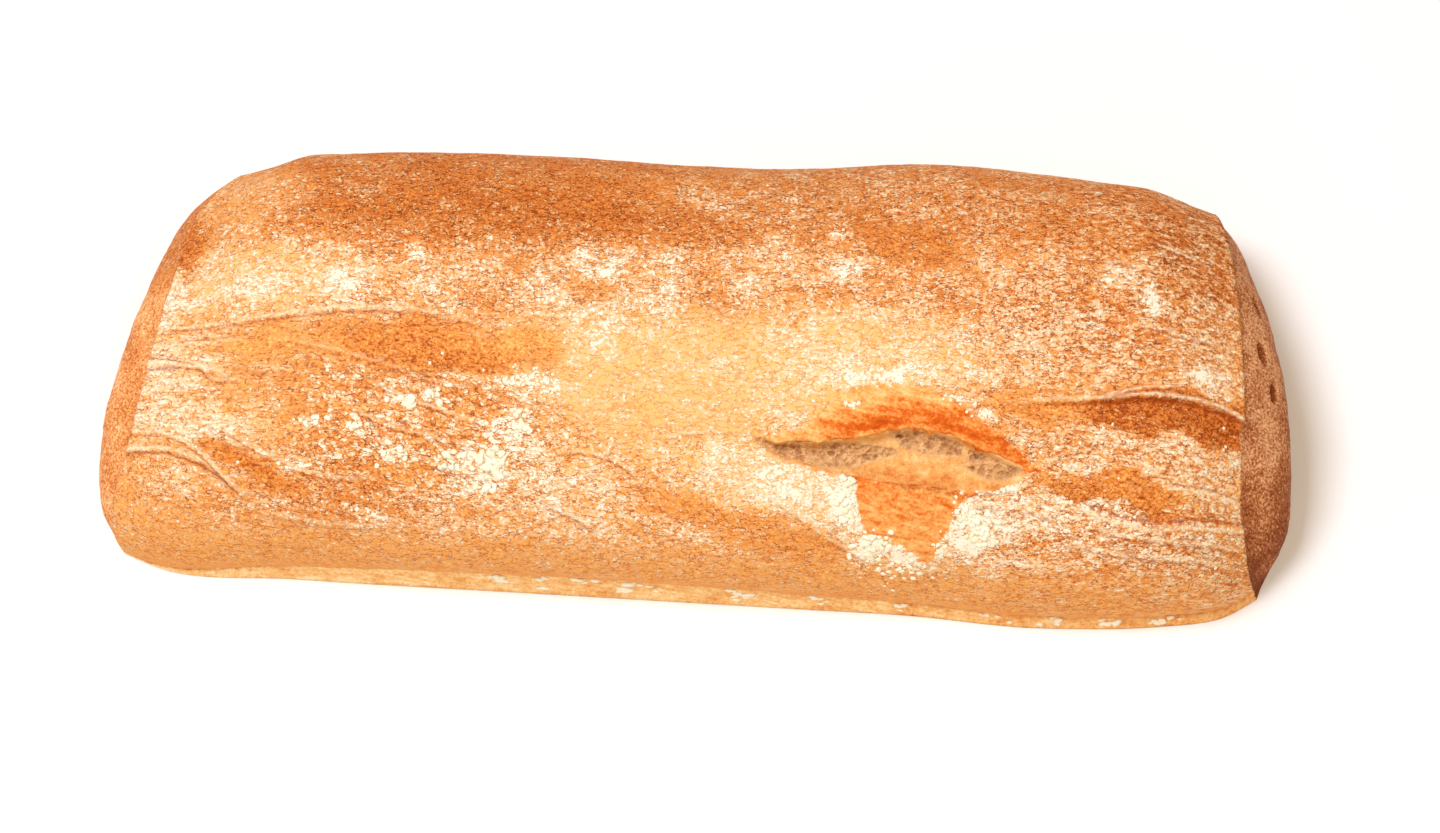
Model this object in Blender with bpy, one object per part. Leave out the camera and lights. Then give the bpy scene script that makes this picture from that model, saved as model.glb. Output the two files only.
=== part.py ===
"""A ciabatta loaf: one solid piece of bread, resting on its flat underside.

Metres, +Z up. X runs along the loaf, and Y from its front side, where the pale foot shows, to its
back. The origin is the middle of the underside. Both ends were cut across the soft dough, so the
floured skin stops at an edge there and the cut face has swollen out past it in the oven.

The skin is a grid: stations along the loaf, and rows over it from the foot to the back of the
underside. The rows gather along three fold lines, so that folds and torn rims stay crisp. The
relief of the folds and of the tear is added along the skin's own normals.
"""

import bmesh
import bpy
import numpy as np

MM = 0.001

# Plan of the loaf, in millimetres: pairs of x and y along each long side.
LEFT_END, RIGHT_END = -128.0, 128.0
FRONT_EDGE = (
    (-128, -46), (-118, -49.7), (-93, -50.4), (-33, -51), (27, -51.6), (51, -51.8), (85, -53.3), (107, -51.5),
    (119, -48.7), (128, -43.5),
)
BACK_EDGE = (
    (-128, 45.5), (-118, 47.5), (-102, 49.5), (-80, 51), (-41, 52.3), (-2, 51.6), (17, 51.7), (55, 54.7),
    (94, 52.2), (112, 50.8), (128, 46.5),
)

# Plan of the two cut edges, where the skin stops: pairs of y and x from front to back.
LEFT_CUT = (
    (-51, -139.5), (-42, -137), (-30, -132.3), (-13, -128.5), (5, -125.3), (20, -122), (32, -118.5),
    (46, -111),
)
RIGHT_CUT = (
    (-53, 133), (-43, 130.3), (-32, 128.5), (-7, 127.5), (10, 126.5), (25, 125), (38, 123), (46, 121),
)

# How far each cut face swells past its edge: pairs of y and millimetres.
LEFT_SWELL = ((-51, 7.5), (-25, 10.5), (5, 9.2), (26, 6.5), (46, 5))
RIGHT_SWELL = ((-53, 5), (-40, 9.5), (-8, 11.7), (12, 9.3), (30, 5.8), (46, 4))
SWELL_TURN = 15.0        # the face turns out over this distance from the skin's edge
SWELL_TOP_Z = 17.0       # height at which the face stands out furthest
SWELL_UNDER = 0.36       # share of the swell lost from there down to the underside
LEFT_SPLAY, RIGHT_SPLAY = -3.0, 5.0      # how far each cut edge runs out from the top to the underside
CUT_LIP = 0.8            # the skin's edge stands this proud of the cut face beside it
CORE_INSET = 20.0        # the middle line of a cut face stops this far inside its sides
END_REACH = 45.0         # how far in from an end its shape fades out

# Heights, in millimetres: pairs of x and z along the loaf.
CROWN = ((-128, 38), (-112, 44.5), (-80, 49), (-20, 49), (25, 50), (90, 51), (112, 48), (128, 41))
FOOT = ((-128, 3), (-90, 5), (-20, 8), (25, 7), (60, 6), (100, 4), (128, 2.5))

# The cross-section.
CREST_Y = 2.0            # the crown lies this far behind the middle
BACK_WIDEST_Z = 17.0     # height at which the back side bulges most
BACK_TUCK = 4.5          # how far the underside's back edge lies inside that bulge
FOOT_LEAN = 0.7          # the foot's top lies this far inside its bottom edge
CREASE_DEPTH, CREASE_TURN = 1.1, 0.09    # the crease over the foot, and the turn over which it fades
SIDE_ROUND, TOP_ROUND = 2.35, 2.25       # 2 is an ellipse, more is boxier

# Three lines that the rows gather along, in pairs of x and y: the front folds and the tear's front
# rim, the tear's back rim, and the long lap with the pocket's lip.
FRONT_LINE = (
    (-134, -31), (-121, -32.5), (-112, -36), (-104, -41), (-80, -41), (-15, -36), (2, -29.5), (13, -27.3),
    (20, -29.3), (30, -31.5), (40, -33), (54, -34), (66, -35), (74, -34), (82, -33.5), (92, -36), (104, -38),
    (116, -36.5), (132, -34),
)
MIDDLE_LINE = (
    (-134, -13), (-119, -13), (-108, -17), (-60, -22), (-15, -25), (5, -24.5), (13, -25), (26, -25.5),
    (38, -24), (50, -21.5), (60, -23), (70, -26.5), (77, -29), (90, -29), (132, -26),
)
BACK_LINE = (
    (-134, -6), (-116, -5), (-97, -2), (-80, 0), (-69, 0), (-46, -3), (-33, -3.5), (0, -8), (40, -13),
    (60, -14), (69, -14), (79, -12), (91, -12), (106, -9), (118, -10), (124, -11), (132, -15),
)

# Folds where one layer of skin lies over the next: the line that the lip follows, the side of it
# that the lip is on (1 is the back), its first and last x, the lengths over which it rises and
# fades, the lip's height, the drop beside it, and how far both run on.
FOLDS = {
    "right_pocket": (BACK_LINE, 1, (64, 140), (18, 1), 0.9, 2.8, 9.0),
    "right_flap": (FRONT_LINE, -1, (80, 140), (14, 1), 0.9, 1.2, 7.0),
    "left_long_lap": (BACK_LINE, 1, (-122, -30), (10, 30), 0.5, 1.3, 9.0),
    "left_notch": (MIDDLE_LINE, 1, (-140, -104), (1, 14), 0.5, 1.2, 4.0),
    "left_flap": (FRONT_LINE, 1, (-140, -98), (1, 12), 0.8, 1.3, 6.0),
}
FOLD_TURN = 0.7          # half the width over which a lip turns down

# The tear in the top, between the middle line and the front line, where the crumb shows.
TEAR_ENDS = (12.0, 79.0)
TEAR_DEPTH = 3.6
TEAR_WALL = 1.8          # width of the steep wall under its back rim
TEAR_RIDGE, RIDGE_AT, RIDGE_WIDTH = 1.6, 3.5, 4.5    # the crust behind it is pushed up
FLAP_EDGE, FLAP_RUN, FLAP_ENDS = 0.9, 4.0, (14.0, 40.0)  # the front rim is a raised edge over this stretch
LOBE_CENTRE, LOBE_SIZE, LOBE_HEIGHT = (50.0, -41.0), (13.0, 9.0), 1.1

# The numbers above are about a middle read by eye, and this moves the loaf onto its true middle.
TO_MIDDLE = (-0.43, -0.64)

# Mesh counts.
STATIONS = 90                    # along the loaf
FOOT_ROWS = 2
SKIN_ROWS = (15, 8, 7, 22)       # from the crease over the foot to each line and on to the underside
BASE_ROWS = 14                   # across the underside at each end
END_RINGS = 7
OUTLINE = 160                    # points of a quarter of a section's outline


def through(knots, x):
    """A smooth curve through the knots, read at x."""
    kx, ky = np.array(knots, float).T
    slope = np.gradient(ky, kx)
    i = np.clip(np.searchsorted(kx, x) - 1, 0, len(kx) - 2)
    gap = kx[i + 1] - kx[i]
    t = np.clip((x - kx[i]) / gap, 0, 1)
    return (
        (2 * t**3 - 3 * t**2 + 1) * ky[i]
        + (t**3 - 2 * t**2 + t) * gap * slope[i]
        + (3 * t**2 - 2 * t**3) * ky[i + 1]
        + (t**3 - t**2) * gap * slope[i + 1]
    )


def ease(t):
    """0 to 1 with level ends."""
    t = np.clip(t, 0, 1)
    return t * t * (3 - 2 * t)


def window(x, ends, fades):
    """1 between two ends, easing to 0 at each over its fade."""
    return ease((x - ends[0]) / fades[0]) * ease((ends[1] - x) / fades[1])


def crowded(count, middles, width, strength):
    """Fractions from 0 to 1 that lie closer together around each of the middles."""
    at = np.linspace(0, 1, 2001)
    density = 1 + sum(strength * np.exp(-(((at - m) / width) ** 2)) for m in middles)
    total = np.concatenate([[0], np.cumsum((density[1:] + density[:-1]) / 2)])
    return np.interp(np.linspace(0, 1, count), total / total[-1], at)


def gathered(count, at_start, at_end):
    """Fractions from 0 up to 1, without 1, that lie closer together at the ends named."""
    t = np.arange(count) / count
    return t - at_start * 0.11 * np.sin(np.pi * t) * (1 - t) * 2 + at_end * 0.11 * np.sin(np.pi * t) * t * 2


def skin_outline(x):
    """The section at x from the crease over the foot, over the crown, to the back of the underside."""
    front, back = through(FRONT_EDGE, x), through(BACK_EDGE, x)
    crown, foot = through(CROWN, x), through(FOOT, x)
    turn = np.linspace(0, np.pi / 2, OUTLINE)
    wide, high = np.cos(turn) ** (2 / SIDE_ROUND), np.sin(turn) ** (2 / TOP_ROUND)
    front_side = front + FOOT_LEAN + CREASE_DEPTH * np.exp(-turn / CREASE_TURN)
    y_front = CREST_Y + (front_side - CREST_Y) * wide
    z_front = foot + (crown - foot) * high
    y_back = CREST_Y + (back - CREST_Y) * wide[::-1]
    z_back = BACK_WIDEST_Z + (crown - BACK_WIDEST_Z) * high[::-1]
    down = np.linspace(0, 1, OUTLINE // 3)[1:]
    y_tuck = back - BACK_TUCK * down**2
    z_tuck = BACK_WIDEST_Z * (1 - down)
    y = np.concatenate([y_front, y_back[1:], y_tuck])
    return np.stack([y, np.concatenate([z_front, z_back[1:], z_tuck])], axis=1)


def section(x):
    """The points of one station's rows, from the crease over the foot to the back of the underside."""
    outline = skin_outline(x)
    along = np.concatenate([[0], np.cumsum(np.linalg.norm(np.diff(outline, axis=0), axis=1))])
    top = outline[:, 0] < through(BACK_EDGE, x) - 1
    line_ys = [through(line, x) for line in (FRONT_LINE, MIDDLE_LINE, BACK_LINE)]
    stops = [0.0, *np.interp(line_ys, outline[top, 0], along[top]), along[-1]]
    rows = []
    for k, count in enumerate(SKIN_ROWS):
        share = gathered(count, 1, k < len(SKIN_ROWS) - 1)
        rows.extend(stops[k] + share * (stops[k + 1] - stops[k]))
    rows.append(along[-1])
    return np.stack([np.interp(rows, along, outline[:, k]) for k in range(2)], axis=1)


def cut_x(end, y, z):
    """Where the cut edge of the skin lies along X, at the left end (-1) or the right one (1)."""
    low = np.clip(1 - z / 38.0, 0, 1) ** 2
    if end < 0:
        return through(LEFT_CUT, y) - LEFT_SPLAY * low
    return through(RIGHT_CUT, y) + RIGHT_SPLAY * low


def bent_to_ends(x, y, z):
    """Moves points near the ends along X, so that the first and last stations lie on the cut edges."""
    left = ease((LEFT_END + END_REACH - x) / END_REACH)
    right = ease((x - RIGHT_END + END_REACH) / END_REACH)
    return x + left * (cut_x(-1, y, z) - LEFT_END) + right * (cut_x(1, y, z) - RIGHT_END)


def fold_relief(x, y, line, side, ends, fades, height, drop, run):
    """Height of a fold: a raised lip on one side of its line and a dip under it on the other."""
    slope = (through(line, x + 1) - through(line, x - 1)) / 2
    across = (y - through(line, x)) / np.hypot(1, slope) * side
    over = 0.5 + 0.5 * np.tanh(across / FOLD_TURN)
    lip = height * over * np.exp(-np.clip(across, 0, None) / run)
    dip = drop * (1 - over) * np.exp(np.clip(across, None, 0) / run)
    return (lip - dip) * window(x, ends, fades)


def tear_relief(x, y):
    """Depth of the torn opening, the ridge of crust behind it and the bare lobe in front of it."""
    back, front = through(MIDDLE_LINE, x), through(FRONT_LINE, x)
    opened = window(x, TEAR_ENDS, (12, 14))
    from_back, from_front = back - y, y - front
    hollow = TEAR_DEPTH * ease(from_back / TEAR_WALL) * ease(from_front / 3.5 + 0.15) * opened
    hollow = np.where((from_back > 0) & (from_front > -0.5), hollow, 0)
    ridge = TEAR_RIDGE * np.exp(-(((-from_back - RIDGE_AT) / RIDGE_WIDTH) ** 2)) * opened
    on_flap = window(x, FLAP_ENDS, (6, 8)) * (from_front < 0.4)
    edge = FLAP_EDGE * on_flap * np.exp(np.clip(from_front, None, 0) / FLAP_RUN)
    away = ((x - LOBE_CENTRE[0]) / LOBE_SIZE[0]) ** 2 + ((y - LOBE_CENTRE[1]) / LOBE_SIZE[1]) ** 2
    lobe = LOBE_HEIGHT * np.exp(-away) * ease(0.5 - from_front / 1.6)
    return ridge - hollow + edge + lobe


def normals_of(grid):
    """Outward unit normals of a grid of points."""
    along, across = np.gradient(grid, axis=0), np.gradient(grid, axis=1)
    normal = np.cross(along, across)
    return normal / np.linalg.norm(normal, axis=2, keepdims=True)


def skin_grid():
    """The floured skin as stations of rows: foot, front side, top and back, with its relief."""
    tear_middle = (46 - LEFT_END) / (RIGHT_END - LEFT_END)
    stations = LEFT_END + (RIGHT_END - LEFT_END) * crowded(STATIONS, (0, tear_middle, 1), 0.13, 0.9)
    grid = np.zeros((STATIONS, FOOT_ROWS + sum(SKIN_ROWS) + 1, 3))
    for i, x in enumerate(stations):
        skin = section(x)
        rise = np.linspace(0, 1, FOOT_ROWS, endpoint=False)[:, None]
        base_edge = np.array([through(FRONT_EDGE, x), 0.0])
        grid[i, :, 0] = x
        grid[i, :, 1:] = np.concatenate([base_edge + rise * (skin[0] - base_edge), skin])
    grid[..., 0] = bent_to_ends(*np.moveaxis(grid, 2, 0))
    x, y = grid[..., 0], grid[..., 1]
    relief = tear_relief(x, y) + sum(fold_relief(x, y, *fold) for fold in FOLDS.values())
    normal = normals_of(grid)
    on_top = ease((normal[..., 2] - 0.15) / 0.4) * ease(grid[..., 2] / 12)
    return grid + normal * (relief * on_top)[..., None]


def distance_to(line, y, z):
    """Distance from points of a cut face to the skin's edge, given as pairs of y and z."""
    best = np.full(y.shape, np.inf)
    for a, b in zip(line[:-1], line[1:]):
        run = b - a
        t = np.clip(((y - a[0]) * run[0] + (z - a[1]) * run[1]) / (run @ run), 0, 1)
        best = np.minimum(best, np.hypot(y - a[0] - t * run[0], z - a[1] - t * run[1]))
    return best


def face_x(end, skin_edge, y, z):
    """Where the swollen cut face lies along X, at the left end (-1) or the right one (1)."""
    gap = distance_to(skin_edge[:, 1:], y, z)
    turned = 1 - np.clip(1 - gap / SWELL_TURN, 0, 1) ** 2
    under = 1 - SWELL_UNDER * np.clip(1 - z / SWELL_TOP_Z, 0, 1) ** 2
    out = through(LEFT_SWELL if end < 0 else RIGHT_SWELL, y) * turned * under
    out -= CUT_LIP * (gap / 1.2) * np.exp(1 - gap / 1.2) * ease(z / 20)
    return cut_x(end, y, z) + end * out


def underside_line(end, skin_edge):
    """Points across the underside at one end, from its back corner to its front one."""
    share = np.linspace(0, 1, BASE_ROWS + 1)[1:-1]
    y = skin_edge[-1, 1] + share * (skin_edge[0, 1] - skin_edge[-1, 1])
    z = np.zeros(len(y))
    return np.stack([face_x(end, skin_edge, y, z), y, z], axis=1)


def cut_face(end, skin_edge, rim):
    """Rings of a cut end, from just inside its rim to its middle. The rim is a closed loop."""
    core_y = np.clip(rim[:, 1], rim[:, 1].min() + CORE_INSET, rim[:, 1].max() - CORE_INSET)
    core = np.stack([core_y, np.full(len(rim), SWELL_TOP_Z)], axis=1)
    rings = []
    for share in (np.arange(1, END_RINGS + 1) / (END_RINGS + 0.5)) ** 1.5:
        y, z = (rim[:, 1:] + (core - rim[:, 1:]) * share).T
        rings.append(np.stack([face_x(end, skin_edge, y, z), y, z], axis=1))
    return rings


def closed_by_rings(points, faces, rim_index, rings):
    """Joins a rim to its rings, one inside the next, and zips the last ring shut."""
    count = len(rim_index)
    before = list(rim_index)
    for ring in rings:
        first = len(points)
        points.extend(ring)
        now = list(range(first, first + count))
        for k in range(count):
            n = (k + 1) % count
            faces.append((before[k], before[n], now[n], now[k]))
        before = now
    for k in range((count - 2) // 2):
        a, b, c, d = before[k], before[k + 1], before[-k - 2], before[-k - 1]
        faces.append((a, b, c, d) if b != c else (a, b, d))


def loaf_mesh():
    """The whole loaf as one closed mesh."""
    grid = skin_grid()
    stations, rows = grid.shape[:2]
    points = list(grid.reshape(-1, 3))
    index = np.arange(stations * rows).reshape(stations, rows)
    faces = [
        (index[i, j], index[i + 1, j], index[i + 1, j + 1], index[i, j + 1])
        for i in range(stations - 1)
        for j in range(rows - 1)
    ]
    base_index = {}
    for end, station in ((-1, 0), (1, -1)):
        skin_edge = grid[station]
        base_index[end] = list(range(len(points), len(points) + BASE_ROWS - 1))
        points.extend(underside_line(end, skin_edge))
        rim_index = list(index[station]) + base_index[end]
        rim = np.array([points[k] for k in rim_index])
        closed_by_rings(points, faces, rim_index, cut_face(end, skin_edge, rim))
    faces.append((*index[:, 0], *base_index[1][::-1], *index[::-1, -1], *base_index[-1]))
    placed = (np.array(points) + (*TO_MIDDLE, 0)) * MM
    mesh = bpy.data.meshes.new("loaf")
    mesh.from_pydata(placed.tolist(), [], [tuple(int(k) for k in face) for face in faces])
    shell = bmesh.new()
    shell.from_mesh(mesh)
    bmesh.ops.recalc_face_normals(shell, faces=shell.faces)
    shell.to_mesh(mesh)
    shell.free()
    return mesh


def crust_material():
    """Baked crust: matt, golden brown."""
    material = bpy.data.materials.new("baked_crust")
    material.use_nodes = True
    shader = material.node_tree.nodes["Principled BSDF"]
    shader.inputs["Base Color"].default_value = (0.62, 0.30, 0.11, 1)
    shader.inputs["Roughness"].default_value = 0.8
    shader.inputs["Metallic"].default_value = 0.0
    return material


def main():
    for thing in list(bpy.data.objects):
        bpy.data.objects.remove(thing)
    mesh = loaf_mesh()
    mesh.shade_smooth()
    mesh.set_sharp_from_angle(angle=0.7)
    mesh.materials.append(crust_material())
    loaf = bpy.data.objects.new("loaf", mesh)
    bpy.context.scene.collection.objects.link(loaf)


main()
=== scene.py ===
# %% [markdown]
# # A ciabatta loaf
# This lesson dresses a packed loaf: one solid of bread, 283 mm long, that lies on its flat
# underside. The solid already has the true outline, height and folds. What it lacks is everything
# that makes bread look like bread: flour that has cracked over the swelling dough, bare crust that
# browned where the flour had gone, a torn opening that shows the crumb, and two cut ends.
# The frame is loaded first, because every piece below takes its place from it.

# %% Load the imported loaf
import math

import bmesh
import bpy
import numpy as np
from mathutils import Matrix, Vector
from mathutils.bvhtree import BVHTree


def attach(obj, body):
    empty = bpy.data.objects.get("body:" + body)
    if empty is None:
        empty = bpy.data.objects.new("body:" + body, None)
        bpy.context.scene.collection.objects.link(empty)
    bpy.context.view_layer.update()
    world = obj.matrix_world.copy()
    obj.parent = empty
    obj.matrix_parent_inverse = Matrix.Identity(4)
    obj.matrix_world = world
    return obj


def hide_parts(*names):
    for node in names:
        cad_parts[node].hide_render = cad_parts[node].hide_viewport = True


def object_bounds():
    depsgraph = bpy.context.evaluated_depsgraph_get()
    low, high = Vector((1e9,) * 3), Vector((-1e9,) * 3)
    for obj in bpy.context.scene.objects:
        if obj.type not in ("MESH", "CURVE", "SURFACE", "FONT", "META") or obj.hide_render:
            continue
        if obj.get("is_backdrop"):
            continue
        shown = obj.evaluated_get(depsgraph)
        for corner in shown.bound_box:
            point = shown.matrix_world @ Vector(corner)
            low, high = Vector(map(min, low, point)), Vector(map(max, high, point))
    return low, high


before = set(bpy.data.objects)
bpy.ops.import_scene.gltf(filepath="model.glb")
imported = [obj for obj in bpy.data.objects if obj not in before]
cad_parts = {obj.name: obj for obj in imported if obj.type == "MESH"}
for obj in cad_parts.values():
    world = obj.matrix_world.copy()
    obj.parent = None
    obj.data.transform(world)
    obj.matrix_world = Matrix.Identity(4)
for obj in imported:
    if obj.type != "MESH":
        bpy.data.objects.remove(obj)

MM = 0.001
cad_box = [[float(v) for v in corner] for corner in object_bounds()]
print("nodes:", sorted(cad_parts))
print("loaf in mm:", [round((high - low) / MM, 1) for low, high in zip(*cad_box)])

# %% [markdown]
# ## Camera
# The loaf is seen from high up at its front side: the pale foot shows and the back side doesn't.
# A long lens from a metre away keeps the sides nearly parallel, as the photograph has them. The
# camera could be placed by eye, but an angle, a height, a distance and a point to look at are
# easier to read and to change.

# %% Place the camera
CAMERA_TURN = math.radians(3)
CAMERA_HEIGHT = math.radians(70)
CAMERA_AWAY = 1.0
CAMERA_LOOKS_AT = Vector((5.3, -12.8, 23.0)) * MM
LENS = 105.8

towards_camera = Vector((
    math.sin(CAMERA_TURN) * math.cos(CAMERA_HEIGHT),
    -math.cos(CAMERA_TURN) * math.cos(CAMERA_HEIGHT),
    math.sin(CAMERA_HEIGHT),
))
camera_data = bpy.data.cameras.new("camera")
camera_data.lens = LENS
camera_data.sensor_width = 36
camera = bpy.data.objects.new("camera", camera_data)
camera.location = CAMERA_LOOKS_AT + towards_camera * CAMERA_AWAY
camera.rotation_euler = (-towards_camera).to_track_quat("-Z", "Y").to_euler()
bpy.context.scene.collection.objects.link(camera)
bpy.context.scene.camera = camera
print("camera at", [round(v, 3) for v in camera.location])

# %% [markdown]
# ## Light and floor
# Bread on a light table: one soft lamp high at the left, a weak one above, a card that throws light
# back onto the front side, and a pale sky all round that fills the shadows. The sky is warm, so the
# shadow at the right end is warm too. The picture stays in the Standard view, because a filmic
# one would grey the white flour.

# %% Light the table
SKY_COLOUR, SKY_STRENGTH = (1.0, 0.73, 0.44, 1), 0.44


def soft_lamp(name, place, size, power, colour):
    """A square area lamp that faces the loaf."""
    lamp_data = bpy.data.lights.new(name, "AREA")
    lamp_data.shape = "SQUARE"
    lamp_data.size = size
    lamp_data.energy = power
    lamp_data.color = colour
    lamp = bpy.data.objects.new(name, lamp_data)
    lamp.location = place
    lamp.rotation_euler = (-Vector(place)).to_track_quat("-Z", "Y").to_euler()
    bpy.context.scene.collection.objects.link(lamp)


bpy.context.scene.view_settings.view_transform = "Standard"
soft_lamp("window_lamp", (-0.66, 0.06, 1.68), 0.62, 22.5, (0.96, 1.02, 1.17))
soft_lamp("top_lamp", (0.7, -0.5, 2.2), 1.6, 12, (1.0, 0.98, 0.92))
soft_lamp("front_card", (0.1, -1.5, 0.7), 1.0, 3.6, (1.0, 0.96, 0.88))
sky = bpy.data.worlds.new("studio_sky")
sky.use_nodes = True
background = sky.node_tree.nodes["Background"]
background.inputs["Color"].default_value = SKY_COLOUR
background.inputs["Strength"].default_value = SKY_STRENGTH
bpy.context.scene.world = sky


# %% [markdown]
# ## Making materials from nodes
# Every finish below is worked out by nodes and not painted on an image, so it is sharp at any
# distance. Small helpers keep the recipes short: each adds a node or two and hands back an
# output. An input may be a plain number, a colour or another node's output.

# %% Places and patterns by nodes
OFF_LATTICE = 7.37       # a height between the noise's lattice planes, where it is liveliest


def srgb(red, green, blue):
    """A colour as picture programs write it, turned into the linear one that light works with."""
    linear = [((c / 255 + 0.055) / 1.055) ** 2.4 if c > 10.3 else c / 255 / 12.92 for c in (red, green, blue)]
    return (*linear, 1.0)


class Patterns:
    """Adds nodes to one material, for places on the loaf and the patterns laid over them."""

    def __init__(self, name):
        self.material = bpy.data.materials.new(name)
        self.material.use_nodes = True
        self.tree = self.material.node_tree
        self.shader = self.tree.nodes["Principled BSDF"]

    def feed(self, socket, value):
        """Connects an output, or sets a plain value."""
        if isinstance(value, bpy.types.NodeSocket):
            self.tree.links.new(value, socket)
        else:
            socket.default_value = value

    def node(self, kind, **inputs):
        """A new node with its inputs fed by name."""
        node = self.tree.nodes.new("ShaderNode" + kind)
        for name, value in inputs.items():
            self.feed(node.inputs[name], value)
        return node

    def worked_out(self, kind, operation, values):
        """The output of a node of arithmetic, with its inputs fed in order."""
        node = self.node(kind)
        node.operation = operation
        for socket, value in zip(node.inputs, values):
            self.feed(socket, value)
        return node.outputs[0]

    def attribute(self, name):
        """A map that the mesh carries."""
        node = self.node("Attribute")
        node.attribute_name = name
        return node.outputs["Fac"]

    def part(self, vector, axis):
        """One of the three numbers of a place."""
        return self.node("SeparateXYZ", Vector=vector).outputs[axis]

    def place_from(self, x, y):
        return self.node("CombineXYZ", X=x, Y=y, Z=OFF_LATTICE).outputs["Vector"]

    def place(self):
        """The point's own place, in millimetres."""
        return self.stretched(self.node("TexCoord").outputs["Object"], (1000, 1000, 1000))

    def stretched(self, vector, scale):
        return self.node("Mapping", Vector=vector, Scale=scale).outputs["Vector"]

    def noise(self, vector, size, detail=3.0, rough=0.55):
        """Cloudy noise whose lumps are about as large as size."""
        node = self.node("TexNoise", Vector=vector, Scale=0.5 / size, Detail=detail, Roughness=rough)
        return node.outputs["Fac"]

    def cell_gap(self, vector, size):
        """Distance to the nearest border between cells."""
        node = self.node("TexVoronoi", Vector=vector, Scale=1 / size)
        node.feature = "DISTANCE_TO_EDGE"
        return node.outputs["Distance"]

    def cell_luck(self, vector, size):
        """A number from 0 to 1 that is the same all over one cell."""
        node = self.node("TexVoronoi", Vector=vector, Scale=1 / size)
        return self.node("SeparateColor", Color=node.outputs["Color"]).outputs["Red"]

    def bent(self, vector, size, amount):
        """The same places, shaken by up to amount millimetres, so that lines on them waver."""
        shake = self.node("TexNoise", Vector=vector, Scale=0.5 / size).outputs["Color"]
        return self.worked_out("VectorMath", "MULTIPLY_ADD", (shake, (amount, amount, amount), vector))


print("linear red of a golden crust:", round(srgb(249, 197, 114)[0], 3))


# %% Shares, colours and the surface by nodes
class Recipe(Patterns):
    """Mixes patterns into the colour, the roughness and the bumps of one material."""

    def step(self, operation, a, b=0.0, c=0.0):
        """One step of arithmetic, such as ADD or MULTIPLY."""
        return self.worked_out("Math", operation, (a, b, c))

    def spread(self, value, low, high, to_low=0.0, to_high=1.0):
        """Maps low..high to to_low..to_high and stays inside."""
        limits = {"From Min": low, "From Max": high, "To Min": to_low, "To Max": to_high}
        return self.node("MapRange", Value=value, **limits).outputs["Result"]

    def uneven(self, vector, size, detail=3.0, rough=0.6):
        """Cloudy noise that runs from about -1 to 1."""
        return self.spread(self.noise(vector, size, detail, rough), 0.3, 0.7, -1.0, 1.0)

    def near(self, value, middle, width):
        """1 where value is at the middle, falling to 0 a width away on both sides."""
        away = self.step("ABSOLUTE", self.step("SUBTRACT", value, middle))
        return self.spread(away, 0.0, width, 1.0, 0.0)

    def between(self, share, a, b):
        """Two numbers mixed: a where share is 0, b where it is 1."""
        return self.step("MULTIPLY_ADD", share, self.step("SUBTRACT", b, a), a)

    def both(self, *values):
        """Numbers multiplied together."""
        product = values[0]
        for value in values[1:]:
            product = self.step("MULTIPLY", product, value)
        return product

    def mixture(self, *shares):
        """Numbers added together, each times its share, given as pairs of share and number."""
        total = 0.0
        for share, value in shares:
            total = self.step("MULTIPLY_ADD", value, share, total)
        return total

    def blend(self, share, a, b):
        """Two colours mixed: a where share is 0, b where it is 1."""
        node = self.node("Mix")
        node.data_type = "RGBA"
        sockets = [s for s in node.inputs if s.enabled]
        for socket, value in zip(sockets, (share, a, b)):
            self.feed(socket, value)
        return [s for s in node.outputs if s.enabled][0]

    def ramp(self, value, stops):
        """A colour read off a row of stops, in pairs of place and colour."""
        node = self.node("ValToRGB", Fac=value)
        elements = node.color_ramp.elements
        while len(elements) < len(stops):
            elements.new(1.0)
        for element, (at, colour) in zip(elements, stops):
            element.position = at
            element.color = colour
        return node.outputs["Color"]

    def bumps(self, height, depth):
        """Tilts the surface by a height of 0 to 1 that stands for depth millimetres."""
        node = self.node("Bump", Height=height, Distance=depth * MM)
        self.feed(self.shader.inputs["Normal"], node.outputs["Normal"])

    def finished(self, colour, roughness, shine=0.5):
        """The material, once its surface is set."""
        for name, value in (("Base Color", colour), ("Roughness", roughness), ("Specular IOR Level", shine)):
            self.feed(self.shader.inputs[name], value)
        return self.material


def table_white():
    """Matt white card."""
    recipe = Recipe("white_table")
    recipe.bumps(recipe.noise(recipe.place(), 3.0), 0.01)
    return recipe.finished((0.96, 0.96, 0.95, 1), 0.9)


print("white table:", table_white().name)

# %% Lay the floor
FLOOR_SIDE = 14.0
FLOOR_DROP = 0.0002
bpy.ops.mesh.primitive_plane_add(size=FLOOR_SIDE, location=(0, 0, -FLOOR_DROP))
floor = bpy.context.object
floor.name = "floor"
floor.data.materials.append(bpy.data.materials["white_table"])
floor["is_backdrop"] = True
print("floor side in metres:", FLOOR_SIDE)

# %% [markdown]
# ## The form of the loaf
# The fine crust follows the same form as the solid: a plan outline, a crown, a foot, and a section
# that is carried along the loaf. The numbers below are that form in millimetres, read from the
# loaf's middle. A mesh could also be sculpted by hand, but the same curves at a finer count
# guarantee that the crust stays where the solid is.

# %% Plan, heights and folds in millimetres
LEFT_END, RIGHT_END = -128.0, 128.0
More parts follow.
